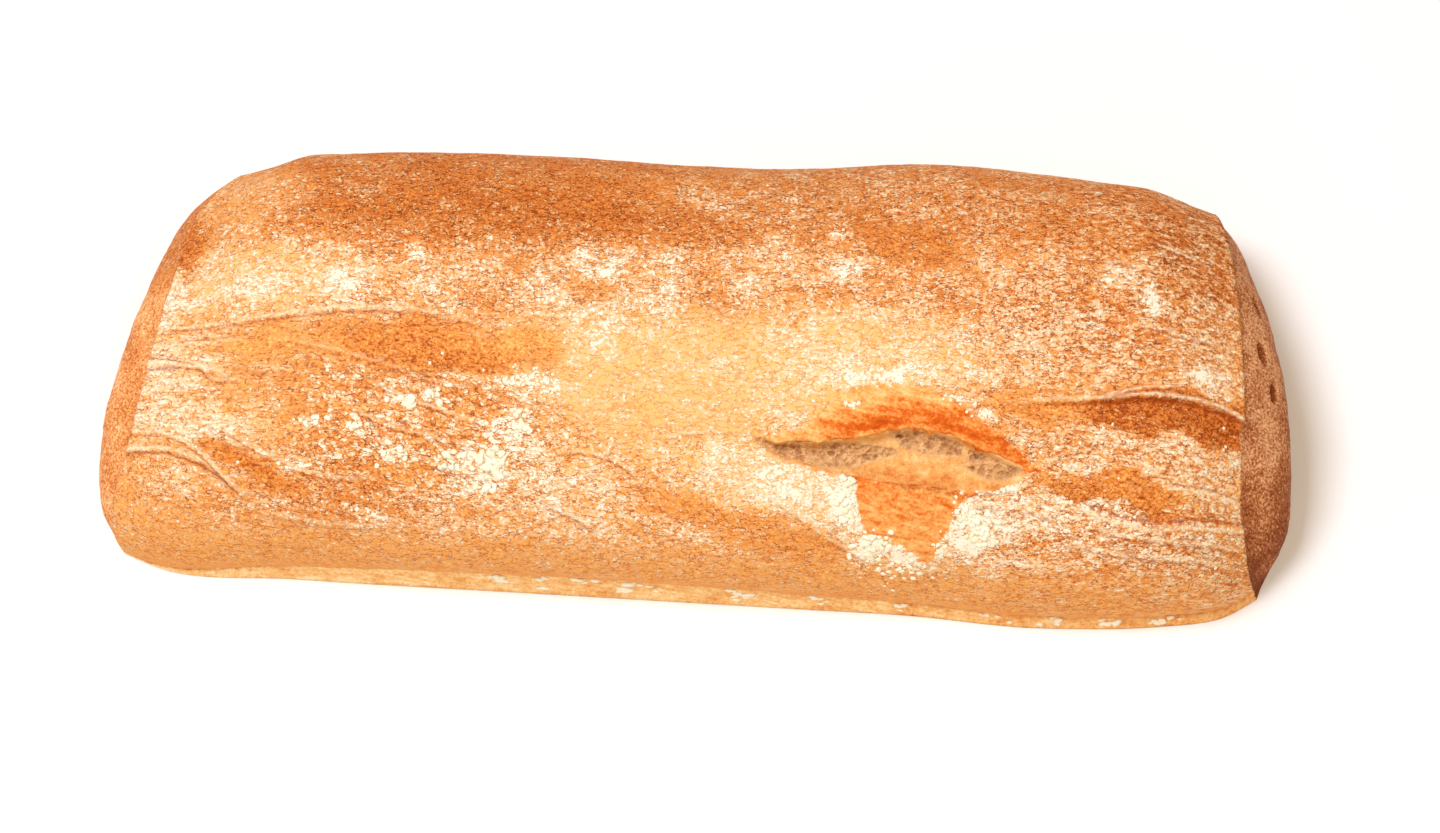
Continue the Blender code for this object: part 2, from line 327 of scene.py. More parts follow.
# The plan: both long edges, then where each end is cut and how far its face swells out.
FRONT_EDGE = (
    (-128, -46), (-118, -49.7), (-93, -50.4), (-33, -51), (27, -51.6), (51, -51.8), (85, -53.3),
    (107, -51.5), (119, -48.7), (128, -43.5),
)
BACK_EDGE = (
    (-128, 44.9), (-121, 46.8), (-112, 48.9), (-101, 50.0), (-89, 50.5), (-76, 51.2), (-41, 52.3),
    (-2, 51.6), (17, 51.7), (55, 54.7), (94, 52.2), (112, 50.8), (128, 46.5),
)
LEFT_CUT = (
    (-51, -139.5), (-42, -137), (-30, -132.3), (-13, -128.5), (5, -125.3), (20, -122), (32, -118.5),
    (46, -111),
)
RIGHT_CUT = (
    (-53, 133), (-43, 130.3), (-32, 128.5), (-7, 127.5), (10, 126.5), (25, 125), (38, 123), (46, 121),
)
LEFT_SWELL = ((-51, 7.5), (-25, 10.5), (5, 9.2), (20, 8.2), (32, 7.8), (40, 6.9), (46, 4.8))
RIGHT_SWELL = ((-53, 5), (-40, 9.5), (-8, 11.7), (12, 9.3), (30, 5.8), (46, 4))
SWELL_TURN = 15.0        # a cut face turns out over this distance from the skin's edge
SWELL_TOP_Z = 17.0       # height at which it stands out furthest
SWELL_UNDER = 0.36       # share of the swell lost down at the underside
LEFT_SPLAY, RIGHT_SPLAY = -3.0, 5.0
SPLAY_TOP_Z = 38.0       # below this height the ends lean out
CUT_LIP = 0.8            # the skin's edge stands this proud of the cut face beside it
CORE_INSET, CORE_HALF = 20.0, 0.8     # the rings of a cut face close in on a flat middle strip
END_REACH = 45.0         # the slant of an end runs out over this length
# Heights of the crown and of the foot along the loaf.
CROWN = ((-128, 38), (-112, 44.5), (-80, 49), (-20, 49), (25, 50), (90, 51), (112, 48), (128, 41))
FOOT = (
    (-128, 0.6), (-114, 1.8), (-90, 5), (-20, 8), (20, 6.4), (48, 4.2), (75, 3.2), (100, 2.6), (120, 1.8),
    (128, 1.2),
)
CREST_Y = 2.0
BACK_WIDEST_Z = 17.0
BACK_TUCK = 4.5          # the back side draws in this much under its widest place
FOOT_LEAN = 0.7
CREASE_DEPTH, CREASE_TURN = 1.1, 0.09
CREASE_ENDS, CREASE_FADES = (-130, 140), (36, 30)
SIDE_ROUND, TOP_ROUND = 2.35, 2.25    # 2 would make the section an ellipse, more makes it fuller
# Lines along the loaf that the folds and both rims of the tear follow.
FRONT_LINE = (
    (-134, -31), (-121, -32.5), (-112, -36), (-104, -41), (-80, -41), (-15, -36), (2, -29.5), (13, -26.9),
    (20, -28.8), (30, -31.1), (40, -33), (54, -34), (66, -35), (74, -34), (82, -33.5), (92, -36),
    (104, -38), (116, -36.5), (132, -34),
)
MIDDLE_LINE = (
    (-134, -13), (-119, -13), (-108, -17), (-60, -22), (-15, -25), (5, -24.5), (13, -25), (26, -25.5),
    (38, -24), (50, -21.5), (60, -23), (70, -26.5), (77, -29), (90, -29), (132, -26),
)
BACK_LINE = (
    (-134, -6), (-116, -5), (-97, -2), (-80, 0), (-69, 0), (-46, -3), (-33, -3.5), (0, -8), (40, -13),
    (60, -14.8), (69, -16.6), (79, -15.2), (91, -14.0), (106, -11.8), (118, -11.8), (124, -12.6),
    (132, -15.4),
)
# Each fold: its line, the side of its lip, where it starts and ends, how far it fades at both, the
# lip's height, the drop beside it and how far both run on.
FOLDS = {
    "right_pocket": (BACK_LINE, 1, (66, 140), (36, 1), 0.4, 2.4, 9.0),
    "right_flap": (FRONT_LINE, -1, (80, 140), (14, 1), 0.5, 1.0, 7.0),
    "left_long_lap": (BACK_LINE, 1, (-122, -30), (24, 50), 0.25, 0.35, 9.0),
    "left_notch": (MIDDLE_LINE, 1, (-140, -104), (1, 14), 0.3, 0.9, 4.0),
    "left_flap": (FRONT_LINE, 1, (-140, -98), (1, 12), 0.45, 0.9, 6.0),
}
FOLD_TURN = 0.4          # half the width over which a lip turns down
TEAR_ENDS, TEAR_FADES = (9.8, 79.0), (10, 14)
TEAR_DEPTH = 3.6
BACK_WALL, FRONT_WALL = 1.8, 3.5
TEAR_RIDGE, RIDGE_AT, RIDGE_WIDTH = 1.1, 3.5, 4.5
FLAP_EDGE, FLAP_RUN, FLAP_ENDS = 0.9, 4.0, (14.0, 40.0)
LOBE_CENTRE, LOBE_SIZE, LOBE_HEIGHT = (50.0, -41.0), (13.0, 9.0), 1.1
TO_MIDDLE = (-0.43, -0.64)            # from the middle of these numbers to the middle of the solid

# How fine the crust is: stations along it, rows up the foot and between the lines, rings and base.
STATIONS = 350
FOOT_ROWS = 7
SKIN_ROWS = (46, 24, 26, 104)
BASE_ROWS = 30
END_RINGS = 42
OUTLINE = 400
GATHER = 0.11            # how strongly the rows crowd along a fold's line
print("rows over the loaf:", FOOT_ROWS + sum(SKIN_ROWS) + 1, "at", STATIONS, "stations")


# %% Curves that read the plan
def through(knots, x):
    """A smooth curve through the knots, read at x."""
    kx, ky = np.array(knots, float).T
    slope = np.gradient(ky, kx)
    i = np.clip(np.searchsorted(kx, x) - 1, 0, len(kx) - 2)
    gap = kx[i + 1] - kx[i]
    t = np.clip((x - kx[i]) / gap, 0, 1)
    return (
        (2 * t**3 - 3 * t**2 + 1) * ky[i]
        + (t**3 - 2 * t**2 + t) * gap * slope[i]
        + (3 * t**2 - 2 * t**3) * ky[i + 1]
        + (t**3 - t**2) * gap * slope[i + 1]
    )


def ease(t):
    """0 to 1 with level ends."""
    t = np.clip(t, 0, 1)
    return t * t * (3 - 2 * t)


def window(x, ends, fades):
    """1 between two ends, easing to 0 at each over its fade."""
    return ease((x - ends[0]) / fades[0]) * ease((ends[1] - x) / fades[1])


def gathered(count, at_start, at_end):
    """Fractions from 0 up to 1, without 1, that lie closer together at the ends named."""
    t = np.arange(count) / count
    bow = GATHER * np.sin(np.pi * t)
    return t - at_start * bow * (1 - t) * 2 + at_end * bow * t * 2


print("crown over the middle:", round(float(through(CROWN, 0.0)), 1), "mm")


# %% One section across the loaf
def skin_outline(x):
    """The section at x from the crease over the foot, over the crown, to the back of the underside."""
    front, back = through(FRONT_EDGE, x), through(BACK_EDGE, x)
    crown, foot = through(CROWN, x), through(FOOT, x)
    turn = np.linspace(0, np.pi / 2, OUTLINE)
    wide, high = np.cos(turn) ** (2 / SIDE_ROUND), np.sin(turn) ** (2 / TOP_ROUND)
    crease = CREASE_DEPTH * window(x, CREASE_ENDS, CREASE_FADES)
    front_side = front + FOOT_LEAN * ease((x + 132) / 30) + crease * np.exp(-turn / CREASE_TURN)
    y_front = CREST_Y + (front_side - CREST_Y) * wide
    z_front = foot + (crown - foot) * high
    y_back = CREST_Y + (back - CREST_Y) * wide[::-1]
    z_back = BACK_WIDEST_Z + (crown - BACK_WIDEST_Z) * high[::-1]
    down = np.linspace(0, 1, OUTLINE // 3)[1:]
    y_tuck = back - BACK_TUCK * down**2
    z_tuck = BACK_WIDEST_Z * (1 - down)
    y = np.concatenate([y_front, y_back[1:], y_tuck])
    return np.stack([y, np.concatenate([z_front, z_back[1:], z_tuck])], axis=1)


def top_of(outline, x):
    """The part of an outline that Y runs evenly along: all but the tuck at the back."""
    return outline[outline[:, 0] < through(BACK_EDGE, x) - 1]


def section(x):
    """The points of one station's rows, from the crease over the foot to the back of the underside."""
    outline = skin_outline(x)
    along = np.concatenate([[0], np.cumsum(np.linalg.norm(np.diff(outline, axis=0), axis=1))])
    top = top_of(outline, x)
    line_ys = [through(line, x) for line in (FRONT_LINE, MIDDLE_LINE, BACK_LINE)]
    stops = [0.0, *np.interp(line_ys, top[:, 0], along[:len(top)]), along[-1]]
    rows = []
    for k, count in enumerate(SKIN_ROWS):
        share = gathered(count, 1, k < len(SKIN_ROWS) - 1)
        rows.extend(stops[k] + share * (stops[k + 1] - stops[k]))
    rows.append(along[-1])
    return np.stack([np.interp(rows, along, outline[:, k]) for k in range(2)], axis=1)


print("rows in one section:", len(section(0.0)))


# %% Cut edges, folds and tear
def cut_x(end, y, z):
    """Where the cut edge of the skin lies along X, at the left end (-1) or the right one (1)."""
    low = np.clip(1 - z / SPLAY_TOP_Z, 0, 1) ** 2
    if end < 0:
        return through(LEFT_CUT, y) - LEFT_SPLAY * low
    return through(RIGHT_CUT, y) + RIGHT_SPLAY * low


def bent_to_ends(x, y, z):
    """Moves points near the ends along X, so that the first and last stations lie on the cut edges."""
    left = ease((LEFT_END + END_REACH - x) / END_REACH)
    right = ease((x - RIGHT_END + END_REACH) / END_REACH)
    return x + left * (cut_x(-1, y, z) - LEFT_END) + right * (cut_x(1, y, z) - RIGHT_END)


def across_fold(x, y, line, side):
    """Signed distance from a fold's line, positive on the lip's side."""
    slope = (through(line, x + 1) - through(line, x - 1)) / 2
    return (y - through(line, x)) / np.hypot(1, slope) * side


def fold_relief(x, y, line, side, ends, fades, height, drop, run, turn=FOLD_TURN):
    """Height of a fold: a raised lip on one side of its line and a dip under it on the other."""
    across = across_fold(x, y, line, side)
    over = 0.5 + 0.5 * np.tanh(across / turn)
    lip = height * over * np.exp(-np.clip(across, 0, None) / run)
    dip = drop * (1 - over) * np.exp(np.clip(across, None, 0) / run)
    return (lip - dip) * window(x, ends, fades)


def from_rims(x, y):
    """How far points lie in front of the tear's back rim and behind its front rim."""
    return through(MIDDLE_LINE, x) - y, y - through(FRONT_LINE, x)


def tear_hollow(x, y):
    """Depth of the torn opening between its back rim and its front rim."""
    from_back, from_front = from_rims(x, y)
    opened = window(x, TEAR_ENDS, TEAR_FADES)
    hollow = TEAR_DEPTH * ease(from_back / BACK_WALL) * ease(from_front / FRONT_WALL + 0.15) * opened
    return np.where((from_back > 0) & (from_front > -0.5), hollow, 0)


def tear_relief(x, y):
    """The ridge behind the torn opening, its raised front flap and the bare lobe in front of it."""
    from_back, from_front = from_rims(x, y)
    opened = window(x, TEAR_ENDS, TEAR_FADES)
    ridge = TEAR_RIDGE * np.exp(-(((-from_back - RIDGE_AT) / RIDGE_WIDTH) ** 2)) * opened
    on_flap = window(x, FLAP_ENDS, (6, 8)) * (from_front < 0.4)
    edge = FLAP_EDGE * on_flap * np.exp(np.clip(from_front, None, 0) / FLAP_RUN)
    away = ((x - LOBE_CENTRE[0]) / LOBE_SIZE[0]) ** 2 + ((y - LOBE_CENTRE[1]) / LOBE_SIZE[1]) ** 2
    lobe = LOBE_HEIGHT * np.exp(-away) * ease(0.5 - from_front / 1.6)
    return ridge + edge + lobe


print("depth inside the tear:", round(float(tear_hollow(45.0, -27.0)), 2), "mm")


# %% [markdown]
# ## The fine skin
# The skin is a grid: stations along the loaf, and rows over it that gather along the fold lines.
# Its relief is added along the skin's own normals, so that a lip stands out from the surface and
# not straight up.

# %% The bare form as a grid
def normals_of(grid):
    """Outward unit normals of a grid of points."""
    along, across = np.gradient(grid, axis=0), np.gradient(grid, axis=1)
    normal = np.cross(along, across)
    return normal / np.linalg.norm(normal, axis=2, keepdims=True)


def bare_grid():
    """Foot, front side, top and back at every station, before any relief."""
    stations = np.linspace(LEFT_END, RIGHT_END, STATIONS)
    grid = np.zeros((STATIONS, FOOT_ROWS + sum(SKIN_ROWS) + 1, 3))
    for i, x in enumerate(stations):
        skin = section(x)
        rise = np.linspace(0, 1, FOOT_ROWS, endpoint=False)[:, None]
        base_edge = np.array([through(FRONT_EDGE, x), 0.0])
        grid[i, :, 0] = x
        grid[i, :, 1:] = np.concatenate([base_edge + rise * (skin[0] - base_edge), skin])
    grid[..., 0] = bent_to_ends(*np.moveaxis(grid, 2, 0))
    return grid


skin = bare_grid()
skin_normal = normals_of(skin)
X, Y, Z = np.moveaxis(skin, 2, 0)
on_top = ease((skin_normal[..., 2] - 0.15) / 0.4) * ease(Z / 12)
arc = np.concatenate(
    [np.zeros((STATIONS, 1)), np.cumsum(np.linalg.norm(np.diff(skin, axis=1), axis=2), axis=1)], axis=1
)
print("skin points:", skin.shape[0] * skin.shape[1], "widest arc:", round(float(arc.max()), 1), "mm")

# %% [markdown]
# ## Noise that can be repeated
# Flour and dough are uneven in a way that looks random. Random numbers on a lattice, smoothed
# between the lattice's points, give such unevenness at any chosen size. The seed makes the loaf
# the same on every run.


# %% Smooth noise on the skin
LATTICE = 509


def noise_at(u, v, seed):
    """Smooth noise from -1 to 1 at the places (u, v), with a lump about one unit wide."""
    table = np.random.default_rng(seed).uniform(-1, 1, (LATTICE, LATTICE))
    iu, iv = np.floor(u).astype(int), np.floor(v).astype(int)
    fu, fv = ease(u - iu), ease(v - iv)
    left, right, low, high = iu % LATTICE, (iu + 1) % LATTICE, iv % LATTICE, (iv + 1) % LATTICE
    at_low = table[left, low] * (1 - fu) + table[right, low] * fu
    at_high = table[left, high] * (1 - fu) + table[right, high] * fu
    return at_low * (1 - fv) + at_high * fv


def layered_noise(u, v, seed, layers=3):
    """Noise with finer noise on top, each layer half as wide and half as strong."""
    total = sum(noise_at(u * 2**k, v * 2**k, seed + k) / 2**k for k in range(layers))
    return total / (2 - 2.0 ** (1 - layers))


# The grain of the skin: flour and wrinkles run along the loaf, and fall towards the front at the left.
GRAIN_FALL = ((-135, 0), (-115, 1.5), (-95, 6), (-65, 11), (-40, 13), (5, 14), (30, 19), (60, 22), (135, 22))
grain_across = arc - arc[:, [FOOT_ROWS + sum(SKIN_ROWS[:3])]] + through(GRAIN_FALL, X)


def grain_noise(along, across, seed, layers=3):
    """Noise over the skin, its lumps this long along the grain and this wide across it."""
    return layered_noise(X / along, grain_across / across, seed, layers)


def skin_noise(along, across, seed, layers=3):
    """The same without the grain, straight along the loaf."""
    return layered_noise(X / along, arc / across, seed, layers)


print("grain runs from", round(float(grain_across.min())), "to", round(float(grain_across.max())), "mm")

# %% [markdown]
# ## Where the flour lies
# The dough was floured before it went in, and swelled under the flour. Where it swelled little the
# flour stayed as a pale veil, where it swelled much the flour cracked into specks and streaks, and
# where one fold hid another the crust stayed bare and browned. Such a map could be painted by hand
# on the mesh. Here it is written as zones: an oval place on the loaf and what it looks like there.
# Each zone is laid over the ones before it, and its edge is ragged because its place is shaken.

# %% Zones of flour and bake
# Each zone: middle (x, y), half size (x, y), turn in degrees, softness of its edge, and what it
# brings: flour from bare 0 to covered 1, bake from golden 0 to dark 1, veil of toasted flour 0 to 1.
ZONES = (
    ((0, 0), (400, 400), 0, 1.0, 0.50, 0.42, 0.10),
    # the brown band along the back
    ((-30, 46), (150, 26), 0, 0.9, 0.34, 0.62, 0.00),
    ((-46, 28), (64, 12), 0, 1.4, 0.28, 0.66, 0.00),
    ((-112, 34), (16, 12), -30, 0.9, 0.42, 0.44, 0.10),
    ((20, 36), (34, 10), 0, 0.9, 0.40, 0.60, 0.05),
    ((92, 40), (56, 20), 0, 0.9, 0.41, 0.60, 0.00),
    ((116, 26), (14, 16), 0, 0.9, 0.38, 0.70, 0.00),
    ((49, 22), (12, 6), -4, 0.8, 0.14, 0.50, 0.00),
    # the sandy middle
    ((12, 2), (92, 16), 0, 1.5, 0.47, 0.56, 0.10),
    ((-8, -12), (40, 14), 0, 0.9, 0.46, 0.22, 0.68),
    ((40, -4), (32, 10), 0, 0.9, 0.56, 0.26, 0.50),
    ((88, 6), (34, 13), 0, 1.0, 0.49, 0.59, 0.00),
    # the left third
    ((-104, 8), (20, 9), 0, 0.9, 0.54, 0.32, 0.25),
    ((-124, 20), (7, 12), 20, 0.9, 0.24, 0.60, 0.00),
    ((-125, 4), (7, 8), 0, 0.7, 0.66, 0.44, 0.00),
    ((-120, -18), (13, 13), 0, 0.8, 0.67, 0.42, 0.00),
    ((-88, -18), (34, 12), -8, 0.9, 0.43, 0.42, 0.15),
    ((-64, -8), (27, 5.5), -6, 0.9, 0.18, 0.42, 0.00),
    ((-41, -6.5), (10, 4), 0, 0.6, 0.10, 0.28, 0.10),
    ((-98, -8), (13, 3), 4, 0.7, 0.26, 0.36, 0.20),
    ((-55, -28), (32, 10), -6, 0.9, 0.50, 0.40, 0.10),
    ((-118, -38), (18, 8), -10, 0.9, 0.46, 0.44, 0.05),
    ((-102, -36), (14, 3), -24, 0.6, 0.16, 0.48, 0.00),
    ((-80, -43), (50, 5), 0, 0.9, 0.44, 0.48, 0.00),
    ((-30, -41), (34, 7), 0, 0.9, 0.55, 0.44, 0.05),
    # round the tear
    ((20, -34), (20, 7), -8, 0.7, 0.72, 0.24, 0.60),
    ((95, -24), (30, 6), 4, 0.9, 0.53, 0.52, 0.05),
    ((118, -23), (14, 5), 0, 0.8, 0.56, 0.54, 0.00),
    ((96, -42), (40, 8), 0, 0.9, 0.70, 0.50, 0.00),
    ((20, -46), (34, 3.5), -12, 0.7, 0.34, 0.44, 0.00),
)
print("zones:", len(ZONES))

# %% Bare places and thick flour
# Bare crust inside the folds, written as zones are: the folds shut it off from the flour.
BARE = (
    ((84, -16.5), (18, 3.6), 2, 0.6, 0.34, 0.36, 0.00),
    ((113, -15.6), (23, 5.4), 0, 0.4, 0.16, 0.68, 0.00),
    ((96, -33), (15, 3.2), -7, 0.5, 0.27, 0.42, 0.00),
)
# Thick white flour: middle, half size and how thick.
CLOUDS = (
    ((-83, 7), (7, 4.5), 0.75), ((-66, 15), (4, 5), 0.7), ((-63, 8), (4, 2.5), 0.7),
    ((-85, 15), (6, 3), 0.4), ((-105, 7), (8, 4), 0.5), ((-126, 4), (3, 6), 0.2), ((-52, 18), (3, 3), 0.5),
    ((-36, 8), (5, 6), 0.5), ((-25, 15), (6, 4), 0.8), ((-9, 11), (6, 7), 0.8), ((-15, 6), (5, 4), 0.6),
    ((15, 17), (7, 9), 0.5), ((34, 15), (4, 3), 0.8), ((30, 24), (2, 2), 0.8), ((95, 17), (5, 3), 0.7),
    ((104, 12), (3, 5), 0.7), ((117, -6), (4, 3), 0.8), ((-25, -3), (6, 5), 0.8), ((-36, -16), (6, 3), 1.0),
    ((-45, -15), (4, 2), 0.6), ((37.5, -11.4), (7, 3.2), 1.0), ((46, -10), (8, 2), 0.8),
    ((66, -11), (8, 2), 0.5), ((60, -16), (4, 1.2), 0.9), ((66, -19), (3, 1.4), 0.9),
    ((36, -18), (3, 1.5), 0.9), ((17, -21), (7, 1.2), 0.7), ((36, -35), (3.5, 6), 1.0),
    ((38, -38), (4, 5), 1.0), ((43, -44), (7, 4), 1.0), ((50, -47), (7, 3), 1.0), ((20, -37), (5, 3), 0.6),
    ((67, -43), (5, 5), 1.0), ((62, -39), (3, 4.5), 1.0), ((70, -35), (6, 2), 0.9),
    ((62, -34), (1.5, 2), 1.0), ((58, -44), (3, 2.5), 0.9), ((88, -37), (8, 2), 0.6),
    ((120, -24), (8, 4), 0.2), ((76, -40), (6, 4), 0.5), ((-46, -34), (5, 3.5), 1.0),
    ((-53, -33), (4, 2.5), 0.9), ((-49, -38), (4, 2), 0.9), ((-40, -25), (4, 5), 0.8),
    ((-45, -26), (2.5, 3), 0.8), ((-67, -22), (3, 1.6), 1.0), ((-60, -20), (2.5, 1.2), 0.9),
    ((-78, -27), (4, 1.6), 0.8), ((-88, -26), (3, 1.3), 0.8), ((-69, -33), (3.5, 2.5), 0.9),
    ((-34, -37), (5, 4), 0.6), ((-101, -33), (4, 1.6), 0.7), ((-92, -36), (4, 1.3), 0.8),
    ((-121, -15), (6, 4), 0.4), ((-112, -28), (6, 2), 0.4), ((-76, -44), (5, 2), 0.4),
)
print("bare places:", len(BARE), "clouds of flour:", len(CLOUDS))

# %% Small creases
# Small creases and wrinkles: the line they follow, the side of the pale lip, the lip's height, the
# drop beside it, and how far the line fades at both ends.
CREASES = (
    (((-131, -28), (-122, -29.5), (-114, -34), (-106, -41)), 1, 0.35, 0.7, 3),
    (((-119, -26), (-109, -29), (-100, -33.5), (-90, -37), (-74, -38.5)), 1, 0.30, 0.35, 6),
    (((-130, -10.5), (-124, -11.5), (-116, -13.5)), -1, 0.30, 0.9, 3),
    (((-118, -12), (-113, -17), (-105, -18)), 1, 0.30, 0.3, 3),
    (((-127, -4), (-118, -4.5), (-110, -4)), 1, 0.20, 0.4, 4),
    (((-125, -7), (-116, -7.5), (-104, -6.5)), -1, 0.20, 0.3, 5),
    (((-97, -8), (-85, -10.5), (-73, -13.5), (-60, -17.5), (-48, -18.5)), 1, 0.30, 0.24, 8),
    (((-78, -17), (-64, -22), (-50, -26), (-42, -28.5)), 1, 0.25, 0.35, 8),
    (((-84, -22), (-70, -27.5), (-60, -29.5), (-46, -31)), 1, 0.28, 0.35, 8),
    (((-66, -33), (-56, -36), (-44, -38)), 1, 0.20, 0.30, 6),
    (((-52, -18), (-40, -20), (-28, -21.5), (-16, -21)), -1, 0.15, 0.18, 8),
    (((-31, -31), (-21, -31.5), (-15, -34), (-12, -36)), 1, 0.25, 0.6, 3),
    (((-36, -41), (-28, -43), (-20, -46)), 1, 0.20, 0.4, 5),
    (((-9, -27.6), (-2, -26), (5, -25.2), (14, -25.4)), 1, 0.05, 0.24, 5),
    (((-104, -44), (-86, -46), (-66, -46.5)), 1, 0.15, 0.25, 9),
    (((14, -36.5), (24, -41), (34, -45.5), (46, -48.5)), 1, 0.20, 0.26, 7),
    (((92, -14), (97, -12.4), (104, -10.6), (112, -9.6)), 1, 0.25, 0.4, 4),
    (((90, -41), (104, -42), (118, -41.5), (131, -40)), 1, 0.22, 0.4, 8),
    (((84, -44), (100, -45), (116, -44.5), (131, -43.5)), 1, 0.20, 0.35, 9),
    (((108, -31), (118, -30.5), (130, -31)), -1, 0.20, 0.4, 5),
    (((62, -38), (76, -38.5), (88, -41)), 1, 0.18, 0.3, 5),
    (((103, 27), (111, 25), (119, 22)), 1, 0.12, 0.4, 4),
    (((92, 21), (101, 19.5), (109, 18)), 1, 0.12, 0.35, 4),
    (((100, 5), (112, 3), (126, 2)), 1, 0.12, 0.35, 6),
)
CREASE_RUN = 1.1         # how far a small crease's lip and drop run on, in millimetres
CREASE_TURN_WIDTH = 0.45
SUNK_FOR_CRUMB = 1.8     # the crust makes this much room under the crumb's own patch
RIM_SHAKE = 0.9          # the torn rims waver by up to this
print("small creases:", len(CREASES))


# %% Lay the zones over each other
def oval(x, y, middle, size, turn=0.0, edge=0.6):
    """1 inside an oval, easing to 0 across its edge."""
    c, s = math.cos(math.radians(turn)), math.sin(math.radians(turn))
    dx, dy = x - middle[0], y - middle[1]
    away = np.hypot((c * dx + s * dy) / size[0], (c * dy - s * dx) / size[1])
    return ease((1 - away) / edge + 0.5)


def lay_over(share, *looks):
    """Brings flour, bake and veil, in this order, to new values where share is 1."""
    for laid, new in zip((flour, bake, veil), looks):
        laid += (new - laid) * share


seen_x, seen_y = X + TO_MIDDLE[0], Y + TO_MIDDLE[1]
shaken_x = seen_x + 5.0 * grain_noise(9, 7, 21)
shaken_y = seen_y + 3.0 * grain_noise(8, 6, 25, 2)
flour, bake, veil = (np.zeros(X.shape) for _ in range(3))
for middle, size, turn, edge, *looks in (*ZONES, *BARE):
    lay_over(oval(shaken_x, shaken_y, middle, size, turn, edge), *looks)
thick = np.zeros(X.shape)
for middle, size, amount in CLOUDS:
    thick = np.maximum(thick, amount * oval(shaken_x, shaken_y, middle, size, 0, 1.6))
thick *= 0.75 + 0.6 * grain_noise(3.5, 2.5, 27)
flour += 0.10 * grain_noise(10, 5, 31) * (1 - thick)
bands = ease((seen_x - 54) / 14) * ease((-24 - seen_y) / 8)
bands = bands + 0.6 * window(seen_x, (-110, -20), (20, 20)) * ease((-8 - seen_y) / 8)
flour += 0.17 * grain_noise(24, 2.1, 33, 2) * bands
bake += 0.07 * skin_noise(16, 9, 35)
print("mean flour:", round(float(flour.mean()), 2), "mean bake:", round(float(bake.mean()), 2))

# %% [markdown]
# ## The sides and the foot
# The front side bulges over the foot, and is smooth and only thinly dusted. The back side is taken
# to be browner. The foot stood on the board, stayed pale and picked up a little flour.

# %% Sides and foot
FRONT_LOOKS, BACK_LOOKS = (0.38, 0.36, 0.10), (0.26, 0.50)     # flour, bake and veil, as in a zone
front_side = ease((32 - Z) / 12) * (Y < 0) * ease((RIGHT_END + 10 - X) / 60 + 0.2)
lay_over(front_side, *FRONT_LOOKS)
back_side = ease((22 - Z) / 12) * (Y > 0)
lay_over(back_side, *BACK_LOOKS)
foot_edge = np.where(Y < 0, through(FOOT, X) + 0.3 - Z, (3.5 - Z) * 0.5)
print("foot up to", round(float(through(FOOT, X).max()), 1), "mm high")

# %% [markdown]
# ## Creases and lips as distances
# A lip is only half a millimetre wide, finer than the mesh. So the mesh doesn't carry the lip
# itself but the distance to it, which changes evenly from point to point and stays exact in
# between. The material then draws the thin pale edge, and paints shade into the gap beside it.


# %% Distance to the nearest fold or crease
TEAR_LIP = (FRONT_LINE, 1, (44, 80), (5, 8), 0.3)    # the tear's front rim, beside the lobe
FOLD_REACH, CREASE_REACH = 2.2, 1.4


def nearest_line(x, y, lines, reach):
    """Signed distance to the nearest of the lines, and its strength, which is 0 beyond the reach."""
    nearest, strength = np.full(x.shape, reach), np.zeros(x.shape)
    for line, side, ends, fades, drop in lines:
        beyond = across_fold(x, y, line, side)
        amount = window(x, ends, fades) * ease(drop / 0.5)
        closer = (np.abs(beyond) < np.abs(nearest)) & (amount > 0.01)
        nearest = np.where(closer, beyond, nearest)
        strength = np.where(closer, amount * ease((reach - np.abs(beyond)) / (0.4 * reach)), strength)
    return nearest, strength


fold_lines = [(*fold[:4], fold[5]) for fold in FOLDS.values()] + [TEAR_LIP]
fold_at, fold_strength = nearest_line(X, Y, fold_lines, FOLD_REACH)
crease_lines = [(k, side, (k[0][0], k[-1][0]), (fade, fade), drop) for k, side, height, drop, fade in CREASES]
crease_at, crease_strength = nearest_line(seen_x, seen_y, crease_lines, CREASE_REACH)
print("points near a fold:", int((fold_strength > 0.5).sum()))
print("points near a crease:", int((crease_strength > 0.5).sum()))

# %% Distance to the cut ends
cut_edge = np.maximum(cut_x(-1, Y, Z) - X, X - cut_x(1, Y, Z))
cut_clean = np.where(X < 0, ease((15 - Y) / 9), 1.0)
print("nearest skin point to a cut:", round(float(cut_edge.max()), 2), "mm")

# %% [markdown]
# ## The torn place
# When the crust burst, smooth new crust formed on both sides of the tear: a deep orange ridge
# behind it, golden further back, and an orange lobe in front of it. No flour reached it. Its edge
# is kept as a distance too.

# %% New crust round the tear
EAR_EDGE = (
    (12, -25.5), (20, -24.6), (25, -23), (28, -20.5), (31, -17.5), (36, -14), (44, -12.6), (52, -13.6),
    (60, -17), (66, -20.6), (74, -25.6), (79, -30.4), (84, -34),
)
EAR_LOW = ((12, -40), (58, -40), (68, -34.5), (74, -32), (79, -30.6), (84, -29))
LOBE_EDGE = (
    (36, -31), (38, -37.5), (39.6, -41.4), (43, -43.4), (48, -44.8), (52, -46), (55.5, -47.4), (58, -44.5),
    (60.5, -40), (62.5, -36.5), (70, -34.8), (80, -31),
)
from_back, from_front = from_rims(X, Y)
new_back = np.minimum(through(EAR_EDGE, seen_x) - seen_y, from_front + 0.3)
new_back = np.minimum(new_back, np.minimum(seen_x - 17, seen_y - through(EAR_LOW, seen_x)))
new_front = np.minimum(seen_y - through(LOBE_EDGE, seen_x), 0.8 - from_front)
new_front = np.minimum(new_front, np.minimum(seen_x - 37.8, 79 - seen_x))
new_edge = np.clip(np.maximum(new_back, new_front), -4, 4)
is_new = ease(new_edge / 1.2 + 0.5)
